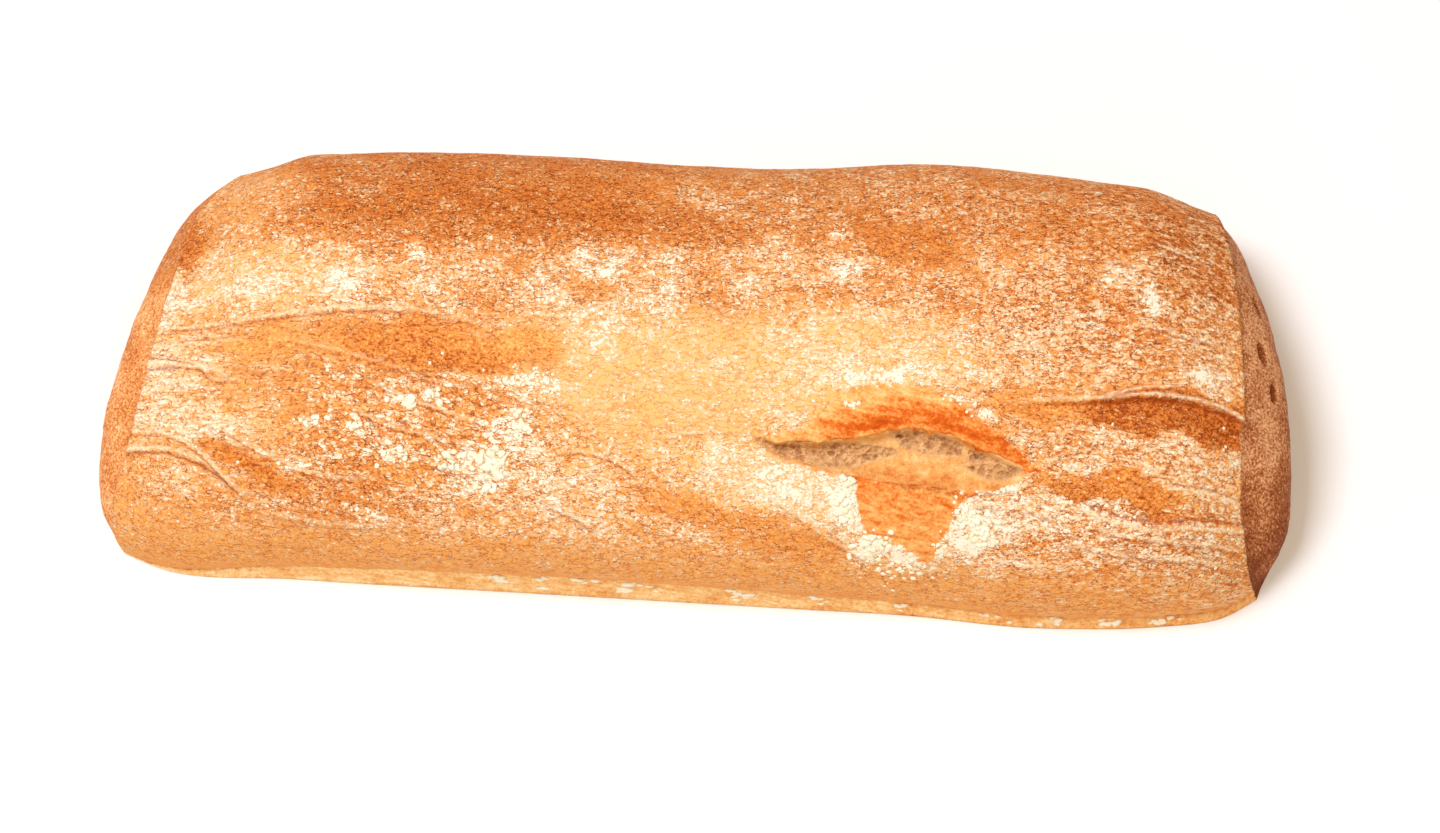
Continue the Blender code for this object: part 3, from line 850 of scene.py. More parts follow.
glow = np.exp(-(((-from_back - 2.2) / 3.2) ** 2)) * ease((seen_x - 26) / 10)
glow = np.maximum(glow, 0.7 * ease((seen_x - 56) / 8)) * (new_back > -1)
glow = np.maximum(glow, (0.28 + 0.2 * ease((5 + from_front) / 4)) * (new_front > -1))
print("new crust covers", int((new_edge > 0).sum()), "points")

# %% [markdown]
# ## Relief of the crust
# Folds and the tear give the large forms. On top of them come slow undulations, wrinkles along the
# grain, small creases, and the thickness of the flour itself.

# %% Relief in millimetres
streaks = ease((24 - np.abs(seen_y + 20)) / 14) * ease((-24 - seen_x) / 24)
islands = ease((20 - np.abs(seen_y + 26)) / 12) * window(seen_x, (-106, -20), (24, 24))
right_front = ease((seen_x - 56) / 12) * ease((-27 - seen_y) / 8) * ease((seen_y + 52) / 8)
islands = np.maximum(islands, 0.75 * right_front)
waves = 0.35 * skin_noise(22, 18, 51, 2)
wrinkles = grain_noise(12, 1.6, 55, 2) * (0.05 + 0.24 * streaks)
grit = grain_noise(1.9, 1.4, 61, 2) * (0.05 + 0.12 * flour + 0.08 * islands)
grit = grit * (1 - is_new) + grain_noise(3.2, 1.5, 63) * 0.32 * is_new
piled = 0.5 * thick * (0.6 + 0.7 * grain_noise(2.2, 1.8, 65, 2)) * (1 - is_new)
ragged_y = Y + RIM_SHAKE * layered_noise(X / 3.2, Y / 3.2, 91, 3)
hollow = tear_hollow(X, ragged_y)
form = tear_relief(X, Y) - hollow - SUNK_FOR_CRUMB * ease(hollow / 1.2)
form = form + sum(fold_relief(X, Y, *fold) for fold in FOLDS.values())
for knots, side, height, drop, fade in CREASES:
    ends = (knots[0][0], knots[-1][0])
    shape = ((fade, fade), 0.4 * height, 0.4 * drop, CREASE_RUN, CREASE_TURN_WIDTH)
    form = form + fold_relief(seen_x, seen_y, knots, side, ends, *shape)
relief = (form + waves + wrinkles + grit + piled) * on_top
relief = relief + 0.12 * skin_noise(6, 5, 71) * (Z > 1)
skin_ready = skin + skin_normal * relief[..., None]
ragged_foot = 0.45 * skin_noise(1.8, 2, 75) * ease((X - 40) / 50)
ragged_foot = ragged_foot * ease((2.5 - np.abs(foot_edge)) / 2)
skin_ready[..., 1] -= np.where((Y < 0) & (Z > 0.5), ragged_foot, 0)
print("relief from", round(float(relief.min()), 2), "to", round(float(relief.max()), 2), "mm")


# %% [markdown]
# ## Closing the ends
# Both ends were cut while the dough was soft, so the skin stops at an edge and the face beyond it
# swelled out. The face is worked out as a height over its own outline, and rings carry it from the
# edge to the middle. The right end burst into a few short slots.

# %% Swollen cut faces
# Slots in the right face: middle (y, z), half length, half width and depth.
SLOTS = (((5.5, 36), 2.2, 0.8, 1.4), ((-3.8, 34.4), 2.0, 0.7, 1.2), ((18, 34), 2.2, 0.5, 0.8))


def slot_depth(y, z):
    """How deep the short slots in the right face go at a point."""
    depth = np.zeros(np.shape(y))
    for (at_y, at_z), long, wide, deep in SLOTS:
        away = np.hypot((y - at_y) / long, (z - at_z) / wide)
        depth = np.maximum(depth, deep * ease(1.6 - away))
    return depth


def distance_to(line, y, z):
    """Distance from points of a cut face to the skin's edge, given as pairs of y and z."""
    best = np.full(y.shape, np.inf)
    for a, b in zip(line[:-1], line[1:]):
        run = b - a
        t = np.clip(((y - a[0]) * run[0] + (z - a[1]) * run[1]) / (run @ run), 0, 1)
        best = np.minimum(best, np.hypot(y - a[0] - t * run[0], z - a[1] - t * run[1]))
    return best


def face_x(end, skin_edge, y, z):
    """Where the swollen cut face lies along X, at the left end (-1) or the right one (1)."""
    gap = distance_to(skin_edge[::4, 1:], y, z)
    turned = 1 - np.clip(1 - gap / SWELL_TURN, 0, 1) ** 2
    under = 1 - SWELL_UNDER * np.clip(1 - z / SWELL_TOP_Z, 0, 1) ** 2
    out = through(LEFT_SWELL if end < 0 else RIGHT_SWELL, y) * turned * under
    lip = CUT_LIP * (ease((18 - y) / 14) if end < 0 else 1.0)
    out -= lip * (gap / 1.2) * np.exp(1 - gap / 1.2) * ease(z / 20)
    out += 0.30 * layered_noise(y / 5 + 40, z / 4 + 40, 81, 4) * ease(gap / 3) * ease(z / 4)
    if end > 0:
        out -= slot_depth(y, z)
    return cut_x(end, y, z) + end * out


print("slots:", len(SLOTS))


# %% Rings that close an end
def underside_line(end, skin_edge):
    """Points across the underside at one end, from its back corner to its front one."""
    share = np.linspace(0, 1, BASE_ROWS + 1)[1:-1]
    y = skin_edge[-1, 1] + share * (skin_edge[0, 1] - skin_edge[-1, 1])
    z = np.zeros(len(y))
    return np.stack([face_x(end, skin_edge, y, z), y, z], axis=1)


def cut_face(end, skin_edge, rim):
    """Rings of a cut end, from just inside its rim to its middle. The rim is a closed loop."""
    core_y = np.clip(rim[:, 1], rim[:, 1].min() + CORE_INSET, rim[:, 1].max() - CORE_INSET)
    core_z = np.clip(rim[:, 2], SWELL_TOP_Z - CORE_HALF, SWELL_TOP_Z + CORE_HALF)
    core = np.stack([core_y, core_z], axis=1)
    rings = []
    for share in (np.arange(1, END_RINGS + 1) / (END_RINGS + 0.5)) ** 1.2:
        y, z = (rim[:, 1:] + (core - rim[:, 1:]) * share).T
        rings.append(np.stack([face_x(end, skin_edge, y, z), y, z], axis=1))
    return rings


def zipped(points, ring):
    """Triangles that fill a long narrow ring: its two sides are joined step by step along Y."""
    y = [points[k][1] for k in ring]
    first = int(np.argmin(y))
    ring = ring[first:] + ring[:first]
    far = int(np.argmax([points[k][1] for k in ring]))
    one, other = ring[:far + 1], [ring[0], *ring[:far - 1:-1]]
    triangles, i, j = [], 0, 0
    while i < len(one) - 1 or j < len(other) - 1:
        one_next = points[one[i + 1]][1] if i < len(one) - 1 else np.inf
        other_next = points[other[j + 1]][1] if j < len(other) - 1 else np.inf
        if one_next <= other_next:
            triangles.append((one[i], one[i + 1], other[j]))
            i += 1
        else:
            triangles.append((other[j], one[i], other[j + 1]))
            j += 1
    return [face for face in triangles if len(set(face)) == 3]


def closed_by_rings(points, faces, rim_index, rings):
    """Joins a rim to its rings, one inside the next, and fills the last ring."""
    count = len(rim_index)
    before = list(rim_index)
    for ring in rings:
        first = len(points)
        points.extend(ring)
        now = list(range(first, first + count))
        for k in range(count):
            n = (k + 1) % count
            faces.append((before[k], before[n], now[n], now[k]))
        before = now
    faces.extend(zipped(points, before))


print("rings in a cut face:", END_RINGS)

# %% Join skin, ends and underside into one closed crust
SKIN, UNDER = 0, 1


def grid_faces(index):
    """Four-sided faces between neighbours in a grid of point numbers."""
    corners = index[:-1, :-1], index[1:, :-1], index[1:, 1:], index[:-1, 1:]
    return np.stack(corners, axis=-1).reshape(-1, 4).tolist()


stations, rows = skin_ready.shape[:2]
points = list(skin_ready.reshape(-1, 3))
index = np.arange(stations * rows).reshape(stations, rows)
faces = grid_faces(index)
base_index, in_face, slot = {}, {}, []
for end, station in ((-1, 0), (1, -1)):
    skin_edge = skin_ready[station]
    first = len(points)
    base_index[end] = list(range(len(points), len(points) + BASE_ROWS - 1))
    points.extend(underside_line(end, skin_edge))
    rim_index = list(index[station]) + base_index[end]
    rim = np.array([points[k] for k in rim_index])
    closed_by_rings(points, faces, rim_index, cut_face(end, skin_edge, rim))
    on_face = np.array(points[first:])
    in_face[end] = distance_to(skin_edge[::4, 1:], on_face[:, 1], on_face[:, 2])
    slot.extend(slot_depth(on_face[:, 1], on_face[:, 2]) * (end > 0))
finish_of = [SKIN] * len(faces) + [UNDER]
faces.append((*index[:, 0], *base_index[1][::-1], *index[::-1, -1], *base_index[-1]))
print("points of the closed crust:", len(points), "faces:", len(faces))


# %% Turn points and faces into a piece
def mesh_of(name, points, faces, finish_of=None):
    """A smooth mesh from points in millimetres, moved onto the loaf's middle, with its faces turned out."""
    mesh = bpy.data.meshes.new(name)
    placed = (np.array(points) + (*TO_MIDDLE, 0)) * MM
    mesh.from_pydata(placed.tolist(), [], [tuple(int(k) for k in face) for face in faces])
    if finish_of:
        mesh.polygons.foreach_set("material_index", finish_of)
    shell = bmesh.new()
    shell.from_mesh(mesh)
    bmesh.ops.recalc_face_normals(shell, faces=shell.faces)
    bmesh.ops.triangulate(shell, faces=[face for face in shell.faces if len(face.verts) > 4])
    shell.to_mesh(mesh)
    shell.free()
    mesh.shade_smooth()
    return mesh


def piece_of(name, mesh):
    """Puts a mesh into the scene under its piece's name."""
    piece = bpy.data.objects.new(name, mesh)
    bpy.context.scene.collection.objects.link(piece)
    print(name, "triangles:", sum(len(face.vertices) - 2 for face in mesh.polygons))
    return piece


crust_mesh = mesh_of("loaf_crust", points, faces, finish_of)
crust = piece_of("loaf_crust", crust_mesh)


# %% Hand the maps to the mesh
def keep_on_mesh(mesh, name, values):
    """Stores one number for each point, for materials to read."""
    attribute = mesh.attributes.new(name, "FLOAT", "POINT")
    attribute.data.foreach_set("value", np.asarray(values, float).reshape(-1))


# The cut faces carry the same maps. At the back of the left one the speckled crust runs on.
face_points = np.array(points[X.size:])
face_gap = np.concatenate([in_face[-1], in_face[1]])
at_left, face_y = face_points[:, 0] < 0, face_points[:, 1]
ragged_y = face_y + 6 * layered_noise(face_y / 9, face_points[:, 2] / 7, 83)
round_back = at_left * ease((ragged_y - 6) / 9)
on_faces = {
    "flour": 0.34 * round_back, "bake": 0.42 + 0.2 * round_back,
    "cut_edge": np.clip(face_gap, 0, 4) + 0.05,
    "cut_clean": 1 - round_back, "slot": slot, "new_edge": -4, "foot_edge": -20, "grain_across": face_y,
    "fold_at": FOLD_REACH, "crease_at": CREASE_REACH,
}
on_skin = {
    "flour": flour, "bake": bake, "veil": veil, "thick": thick, "streaks": streaks, "islands": islands,
    "fold_at": fold_at, "fold_strength": fold_strength, "crease_at": crease_at,
    "crease_strength": crease_strength, "new_edge": new_edge, "glow": glow,
    "foot_edge": np.clip(foot_edge, -20, 4),
    "grain_across": grain_across, "cut_edge": np.clip(cut_edge, -4, 4), "cut_clean": cut_clean, "slot": 0 * X,
}
for name, values in on_skin.items():
    rest = np.ones(len(face_points)) * on_faces.get(name, 0)
    keep_on_mesh(crust_mesh, name, np.concatenate([values.reshape(-1), rest]))
print("maps:", len(on_skin), "points of the cut faces:", len(face_points))

# %% [markdown]
# ## The floured crust
# Three layers: bare crust that runs from golden to dark brown, a thin veil of toasted flour over
# it, and flour that has broken up, thin and cream or thick and white. Uneven patterns break the
# flour: where the map is high little of it breaks away, where it is low only specks stay, as a
# golden, toasted dust. The patterns differ by place: sand and flakes on most of the loaf, streaks
# along the wrinkles, and small islands where the skin swelled most. Fine veins run through all of
# them as cracks, and thin flour keeps off them. Over these layers come the new crust, the lips of
# the folds, the foot and the cut ends. An image would be quicker, but it would fit one side only,
# while noise wraps the whole loaf.

# %% Tones of the crust
BARE_TONES = (
    (0.0, srgb(249, 197, 114)), (0.3, srgb(236, 155, 75)), (0.58, srgb(209, 117, 51)),
    (0.82, srgb(168, 78, 24)), (1.0, srgb(136, 58, 17)),
)
TOASTED_FLOUR, THIN_FLOUR, WHITE_FLOUR = srgb(250, 208, 136), srgb(248, 213, 165), srgb(252, 241, 218)
TOASTED_DUST, PALE_LIP = srgb(239, 182, 118), srgb(253, 232, 192)
FOOT_TONES = (
    (0.0, srgb(255, 236, 190)), (0.3, srgb(250, 206, 140)), (0.6, srgb(240, 172, 100)),
    (1.0, srgb(200, 112, 50)),
)
# Painted shade for the gaps beside the lips of folds and creases, and for the crease over the foot.
CREASE_SHADE, OVER_FOOT = srgb(168, 78, 28), srgb(236, 158, 86)
FRESH_TONES = (
    (0.0, srgb(248, 206, 136)), (0.35, srgb(240, 170, 93)), (0.7, srgb(226, 112, 36)),
    (1.0, srgb(198, 80, 20)),
)
LEFT_CUT_TONES = ((0.0, srgb(186, 98, 40)), (0.45, srgb(232, 152, 86)), (1.0, srgb(252, 216, 160)))
# The right face is darker than the left one: partly a browner crust, partly painted shade, as it faces away
# from the lamp.
RIGHT_CUT_SHADED_TONES = ((0.0, srgb(124, 62, 28)), (0.45, srgb(176, 104, 60)), (1.0, srgb(236, 182, 134)))
print("tones of bare crust:", len(BARE_TONES))


# %% Textures that the crust's layers share
class CrustRecipe(Recipe):
    """A recipe that begins with sand, flakes, streaks, drifts and veins."""

    def __init__(self, name):
        super().__init__(name)
        self.on_loaf = self.place()
        self.along = self.part(self.on_loaf, "X")
        self.grain = self.place_from(self.along, self.attribute("grain_across"))
        # Patterns from the finest grains to slow changes, each running from about -1 to 1.
        self.sand = self.uneven(self.on_loaf, 0.34, 2.0, 0.6)
        self.flake = self.uneven(self.on_loaf, 0.75, 4.0, 0.72)
        self.streak = self.uneven(self.stretched(self.grain, (0.16, 1, 1)), 0.5, 4.0, 0.7)
        self.drift = self.uneven(self.on_loaf, 3.4, 4.0, 0.6)
        self.shake = self.mixture((0.9, self.uneven(self.on_loaf, 0.9, 4.0, 0.65)), (0.3, self.sand))
        # Close over the foot the crust is smooth, so its patterns and veins are weaker there.
        self.foot_edge = self.attribute("foot_edge")
        self.even = self.spread(self.foot_edge, -9, -2, 1.0, 0.4)
        wavering = self.stretched(self.bent(self.on_loaf, 1.3, 1.0), (0.45, 1, 1))
        self.vein = self.both(self.near(self.uneven(wavering, 0.7, 3.0, 0.6), 0.0, 0.18), self.even)
        rubbed = self.mixture((0.5, self.sand), (0.7, self.flake), (-1.0, self.vein))
        self.patchy = self.spread(rubbed, -0.7, 0.4, 0.35, 1.0)

    def past(self, edge, ragged):
        """1 past an edge that the mesh keeps as a distance, 0 before it, the edge shaken."""
        return self.spread(self.mixture((1.0, self.attribute(edge)), (ragged, self.shake)), -0.1, 0.1)


print("height over the foot from", round(float(foot_edge.min()), 1), "to", round(float(foot_edge.max()), 1))


# %% Flour that has broken up
def broken_flour(recipe):
    """The map of flour, how far thin and thick flour cover the crust, and the cracks in them."""
    sand, flake = recipe.sand, recipe.flake
    long_flake = recipe.uneven(recipe.stretched(recipe.grain, (0.5, 1, 1)), 0.6, 4.0, 0.7)
    bent = recipe.bent(recipe.stretched(recipe.grain, (0.7, 1, 1)), 0.7, 2.0)
    island = recipe.spread(recipe.cell_luck(bent, 1.15), 0, 1, -1.0, 1.0)
    gap = recipe.spread(recipe.cell_gap(bent, 1.15), 0.03, 0.16, -1.0, 0.0)
    plain = recipe.mixture((0.8, flake), (0.9, sand))
    long = recipe.mixture((0.9, long_flake), (0.8, sand))
    lined = recipe.mixture((0.7, recipe.streak), (0.7, sand), (0.3, flake))
    celled = recipe.mixture((0.8, island), (0.6, sand), (0.9, gap), (0.6, flake), (1.0, 0.14))
    pattern = recipe.between(recipe.spread(recipe.along, 60, 90), plain, long)
    pattern = recipe.between(recipe.attribute("streaks"), pattern, lined)
    pattern = recipe.between(recipe.attribute("islands"), pattern, celled)
    pattern = recipe.both(pattern, recipe.even)
    flour, thick = recipe.attribute("flour"), recipe.attribute("thick")
    clotted = recipe.spread(thick, 0.5, 1.0, 0.0, 0.5)
    heaped = recipe.mixture((1.0, flour), (0.5, thick), (1.0, clotted))
    score = recipe.mixture(
        (2.4, heaped), (1.0, pattern), (0.4, recipe.drift), (-1.0, recipe.vein), (1.0, -1.068),
    )
    crack = recipe.both(recipe.spread(gap, -0.8, 0.0, 1.0, 0.0), recipe.attribute("islands"))
    return flour, recipe.spread(score, -0.25, 0.15), recipe.spread(score, 0.6, 0.95), crack


def baked_crust(recipe, flour, thin, white, crack):
    """Bare crust, the veil of toasted flour over it, then thin flour and white flour."""
    tone = recipe.mixture(
        (1.0, recipe.attribute("bake")), (0.30, recipe.sand), (0.24, recipe.flake), (0.08, recipe.drift),
    )
    tone = recipe.mixture((1.0, tone), (0.32, recipe.vein), (0.18, crack))
    colour = recipe.ramp(tone, BARE_TONES)
    colour = recipe.blend(recipe.both(recipe.attribute("veil"), recipe.patchy), colour, TOASTED_FLOUR)
    dust = recipe.blend(recipe.spread(flour, 0.3, 0.55), TOASTED_DUST, THIN_FLOUR)
    off_veins = recipe.spread(recipe.vein, 0.2, 0.8, 1.0, 0.4)
    colour = recipe.blend(recipe.both(thin, off_veins, 0.86), colour, dust)
    return recipe.blend(white, colour, WHITE_FLOUR)


print("flour runs from", round(float(flour.min()), 2), "to", round(float(flour.max()), 2))


# %% New crust and the lips of the folds
def new_crust(recipe, colour, new_share):
    """Smooth orange crust beside the tear, streaked along the grain."""
    lines = recipe.uneven(recipe.stretched(recipe.grain, (0.4, 1, 1)), 0.9, 4.0, 0.65)
    glow = recipe.attribute("glow")
    fresh = recipe.mixture(
        (0.50, glow), (0.34, lines), (0.16, recipe.sand), (0.14, recipe.flake), (1.0, 0.26),
    )
    return recipe.blend(new_share, colour, recipe.ramp(fresh, FRESH_TONES))


def lips_and_gap_shade(recipe, colour):
    """A pale lip, and painted shade in the gap beside it, along each fold and each small crease."""
    unbroken = recipe.spread(recipe.mixture((1.0, recipe.flake), (0.6, recipe.sand)), -0.7, 0.4, 0.2, 1.0)
    for at, strength, wide in (("fold_at", "fold_strength", 0.55), ("crease_at", "crease_strength", 0.38)):
        shaken = recipe.mixture((1.0, recipe.attribute(at)), (0.35, recipe.shake))
        here = recipe.both(recipe.attribute(strength), unbroken)
        on_lip = recipe.both(recipe.near(shaken, 2.0 * wide, 1.4 * wide), here)
        # The gap beside each lip is painted darker: painted shade where the crust dips into the fold or
        # crease.
        gap_shade = recipe.both(recipe.near(shaken, -0.1, wide), here)
        colour = recipe.blend(on_lip, colour, PALE_LIP)
        colour = recipe.blend(gap_shade, colour, CREASE_SHADE)
    return colour


print("tones of new crust:", len(FRESH_TONES))


# %% Foot and cut ends
def pale_foot(recipe, colour):
    """The foot, a thin line of painted crease shade over it, and the golden strip above that."""
    over_foot = recipe.near(recipe.foot_edge, -1.6, 1.8)
    crease_shade_at = recipe.mixture((1.0, recipe.foot_edge), (0.3, recipe.drift))
    colour = recipe.blend(recipe.both(over_foot, 0.35), colour, OVER_FOOT)
    # Painted shade along the crease over the foot.
    colour = recipe.blend(recipe.both(recipe.near(crease_shade_at, 0.0, 0.5), recipe.patchy), colour, CREASE_SHADE)
    foot_at = recipe.mixture((1.0, recipe.foot_edge), (0.6, recipe.shake))
    rightwards = recipe.spread(recipe.along, -120, 120, 0.0, 0.22)
    tone = recipe.mixture((0.22, recipe.drift), (0.20, recipe.flake), (0.20, recipe.streak))
    tone = recipe.mixture((1.0, tone), (0.16, recipe.sand), (1.0, rightwards), (1.0, 0.32))
    return recipe.blend(recipe.spread(foot_at, -0.4, 0.5), colour, recipe.ramp(tone, FOOT_TONES))


def cut_ends(recipe, colour):
    """Both cut faces, drawn out upwards: the left one pale; the right one darker, partly browner and partly
    painted shade, darker still below, with painted shade in its slots.
    """
    drawn = recipe.uneven(recipe.stretched(recipe.on_loaf, (1, 1, 0.3)), 0.24, 3.0, 0.6)
    tone = recipe.mixture((0.42, drawn), (0.26, recipe.sand), (0.26, recipe.drift), (1.0, 0.48))
    # Painted shade inside the slots, darker where they are deeper.
    slot_shade = recipe.spread(recipe.attribute("slot"), 0.1, 0.7, 0.0, 0.7)
    at_edge = recipe.spread(recipe.attribute("cut_edge"), 0.3, 4.0, 0.10, 0.0)
    tone = recipe.mixture((1.0, tone), (-1.0, slot_shade), (-1.0, at_edge))
    height = recipe.part(recipe.on_loaf, "Z")
    left_tone = recipe.step("ADD", tone, recipe.spread(height, 10, 34, 0.06, -0.04))
    right_shaded_tone = recipe.step("ADD", tone, recipe.spread(height, 10, 36, -0.36, 0.20))
    left_cut, right_cut_shaded = recipe.ramp(left_tone, LEFT_CUT_TONES), recipe.ramp(right_shaded_tone, RIGHT_CUT_SHADED_TONES)
    cut_colour = recipe.blend(recipe.spread(recipe.along, -10, 10), left_cut, right_cut_shaded)
    cut_share = recipe.both(recipe.past("cut_edge", 0.4), recipe.attribute("cut_clean"))
    return recipe.blend(cut_share, colour, cut_colour)


print("tones of the foot:", len(FOOT_TONES))


# %% Material: floured crust
def floured_crust():
    """All the layers of the crust, one over the other."""
    recipe = CrustRecipe("floured_crust")
    flour_here, thin, white, crack = broken_flour(recipe)
    new_share = recipe.past("new_edge", 1.2)
    colour = baked_crust(recipe, flour_here, thin, white, crack)
    colour = new_crust(recipe, colour, new_share)
    colour = lips_and_gap_shade(recipe, colour)
    colour = pale_foot(recipe, colour)
    colour = cut_ends(recipe, colour)
    covered = recipe.both(white, recipe.step("SUBTRACT", 1.0, new_share))
    recipe.bumps(recipe.mixture((0.12, recipe.sand), (0.35, thin), (0.5, covered), (-0.1, recipe.vein)), 0.09)
    return recipe.finished(colour, recipe.spread(thin, 0, 1, 0.6, 0.9), shine=0.04)


def underside_crust():
    """Pale brown, dusted by the floured board."""
    recipe = Recipe("underside_crust")
    dust = recipe.spread(recipe.noise(recipe.place(), 1.2, 5.0, 0.7), 0.42, 0.6)
    recipe.bumps(dust, 0.2)
    return recipe.finished(recipe.blend(dust, srgb(226, 158, 92), srgb(248, 222, 178)), 0.85)


crust_mesh.materials.append(floured_crust())
crust_mesh.materials.append(underside_crust())
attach(crust, "root")
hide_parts("loaf")
print("finishes:", [m.name for m in crust_mesh.materials])

# %% [markdown]
# ## The torn crumb
# Inside the tear the soft crumb shows: three patches of open pores with smooth, toasted skins of
# dough between them. It is a patch of its own with a much finer mesh than the crust, laid in the
# hollow that the crust leaves for it. Its border dives under the rims, so no edge shows. A bump
# map alone would leave the pores flat at the rim, where one looks into them from the side.

# %% Pores of the crumb
# Where the crumb is open: the upper and the lower line of each patch.
OPEN_CRUMB = (
    (
        ((13.6, -24.6), (18.5, -24.8), (25.4, -25.2), (33.5, -25.8), (38.2, -26.1), (45.1, -26.9),
         (46.5, -27.4)),
        ((13.6, -26.2), (19.6, -29.3), (25.4, -30.9), (31.2, -31.5), (37, -31.4), (41.6, -30.2),
         (46.5, -28.6)),
    ),
    (
        ((45.1, -22.6), (49.7, -22.4), (56.7, -23.6), (61.6, -25.2)),
        ((45.1, -23.8), (47.4, -26.5), (52, -27.9), (61.6, -28.6)),
    ),
    (
        ((63.2, -26.6), (68.3, -27.9), (72.9, -29.4), (76.4, -30.2)),
        ((63.2, -31), (66, -32.7), (70.6, -33.2), (76.4, -31.2)),
    ),
)
# The deepest pores, which get the darkest painted shade: middle and radius.
DEEP_PORES = (
    ((13.6, -25.0), 1.3), ((17.6, -26.2), 0.9), ((20.6, -27.4), 0.8), ((24.6, -28.6), 0.9),
    ((28.2, -26.8), 0.8), ((31.6, -28.8), 0.9), ((35.6, -27.2), 0.7), ((39.4, -28.9), 0.8),
    ((43.6, -27.9), 0.7), ((47.4, -24.2), 1.2), ((49.6, -25.0), 0.7), ((54.0, -26.8), 0.8),
    ((58.4, -25.4), 0.7), ((64.9, -28.3), 1.2), ((66.6, -30.8), 0.8), ((70.4, -30.2), 0.8),
    ((73.4, -31.4), 0.8),
)
SMALL_PORES = 520
CRUMB_LONG, CRUMB_WIDE = 400, 70
UNDER_BACK, UNDER_FRONT = 1.5, 0.6   # the patch reaches this far past each rim, under the crust
EDGE_SINK, END_SINK = 1.4, 2.2       # and lies this deep along its front edge and at its two ends
print("open places:", len(OPEN_CRUMB), "deep pores:", len(DEEP_PORES))

# %% The patch before its pores
share_x = np.linspace(0, 1, CRUMB_LONG)[:, None]
share_y = np.linspace(0, 1, CRUMB_WIDE)[None, :]
crumb_x = (TEAR_ENDS[0] + (TEAR_ENDS[1] - TEAR_ENDS[0]) * share_x) * np.ones_like(share_y)
low_y = through(FRONT_LINE, crumb_x) - UNDER_FRONT
high_y = through(MIDDLE_LINE, crumb_x) + UNDER_BACK
crumb_y = low_y + (high_y - low_y) * share_y
crumb_z = np.zeros(crumb_x.shape)
for i, x in enumerate(crumb_x[:, 0]):
    crumb_z[i] = np.interp(crumb_y[i], *top_of(skin_outline(x), x).T)
crumb_bare = np.stack([crumb_x, crumb_y, crumb_z], axis=2)
crumb_normal = normals_of(crumb_bare)
print("points of the patch:", crumb_x.size)

# %% Sink the pores
crumb_seen_x, crumb_seen_y = crumb_x + TO_MIDDLE[0], crumb_y + TO_MIDDLE[1]
crumb_edge = np.full(crumb_x.shape, -9.0)
for high, low in OPEN_CRUMB:
    inside = np.minimum(through(high, crumb_seen_x) - crumb_seen_y, crumb_seen_y - through(low, crumb_seen_x))
    inside = np.minimum(inside, crumb_seen_x - high[0][0] + 0.5)
    inside = np.minimum(inside, high[-1][0] + 0.5 - crumb_seen_x)
    crumb_edge = np.maximum(crumb_edge, inside)
openness = ease(crumb_edge / 0.9 + 0.3)
luck = np.random.default_rng(97)
pores = [(middle, 0.8 * radius, 1.2) for middle, radius in DEEP_PORES]
for _ in range(SMALL_PORES):
    high, low = OPEN_CRUMB[luck.choice(3, p=(0.5, 0.27, 0.23))]
    at_x = luck.uniform(high[0][0], high[-1][0])
    at_y = through(low, at_x) + luck.uniform() * (through(high, at_x) - through(low, at_x))
    radius = float(np.clip(luck.lognormal(-0.85, 0.42), 0.2, 0.9))
    pores.append(((at_x, float(at_y)), radius, 0.95))
pore_depth = np.zeros(crumb_x.shape)
dough_x = crumb_seen_x + 0.8 * layered_noise(crumb_x / 1.2, crumb_y / 1.2, 105)
dough_y = crumb_seen_y + 0.6 * layered_noise(crumb_x / 1.2, crumb_y / 1.2, 109)
for (at_x, at_y), radius, steep in pores:
    away = np.hypot(dough_x - at_x, (dough_y - at_y) * 1.25) / radius
    bowl = steep * radius * np.sqrt(np.clip(1 - away**2, 0, 1))
    pore_depth = np.maximum(pore_depth, bowl)
print("pores:", len(pores), "deepest:", round(float(pore_depth.max()), 2), "mm")

# %% Lay the crumb into the tear
under_front = ease((through(FRONT_LINE, crumb_x) - crumb_y) / UNDER_FRONT + 0.7)
lumpy = 0.5 * layered_noise(crumb_x / 2.4, crumb_y / 1.7, 101, 3) * (0.3 + openness)
inside = -tear_hollow(crumb_x, crumb_y) + lumpy - pore_depth * openness
edge_depth = -tear_hollow(crumb_x, crumb_y) - EDGE_SINK
floor_height = inside + (edge_depth - inside) * under_front
opened = window(crumb_x, TEAR_ENDS, (1.5, 3))
floor_height = -END_SINK + (floor_height + END_SINK) * opened
crumb_points = crumb_bare + crumb_normal * floor_height[..., None]
crumb_index = np.arange(crumb_x.size).reshape(crumb_x.shape)
crumb_mesh = mesh_of("torn_crumb", crumb_points.reshape(-1, 3), grid_faces(crumb_index))
if sum(face.normal.z for face in crumb_mesh.polygons) < 0:
    crumb_mesh.flip_normals()
crumb = piece_of("torn_crumb", crumb_mesh)
near_lobe = ease(1.1 - (crumb_y - through(FRONT_LINE, crumb_x)) / 4)
near_lobe = near_lobe * window(crumb_seen_x, (36, 66), (4, 6))
keep_on_mesh(crumb_mesh, "crumb_edge", crumb_edge)
keep_on_mesh(crumb_mesh, "pore_depth", pore_depth * openness)
keep_on_mesh(crumb_mesh, "near_lobe", near_lobe)

# %% Material: crumb
CRUMB_TONES = ((0.0, srgb(200, 140, 86)), (0.5, srgb(232, 178, 118)), (1.0, srgb(250, 216, 162)))
SKIN_TONES = ((0.0, srgb(252, 216, 150)), (0.5, srgb(246, 178, 98)), (1.0, srgb(220, 116, 46)))
# Painted shade for the bottoms of the pores.
PORE_SHADE = srgb(150, 92, 52)


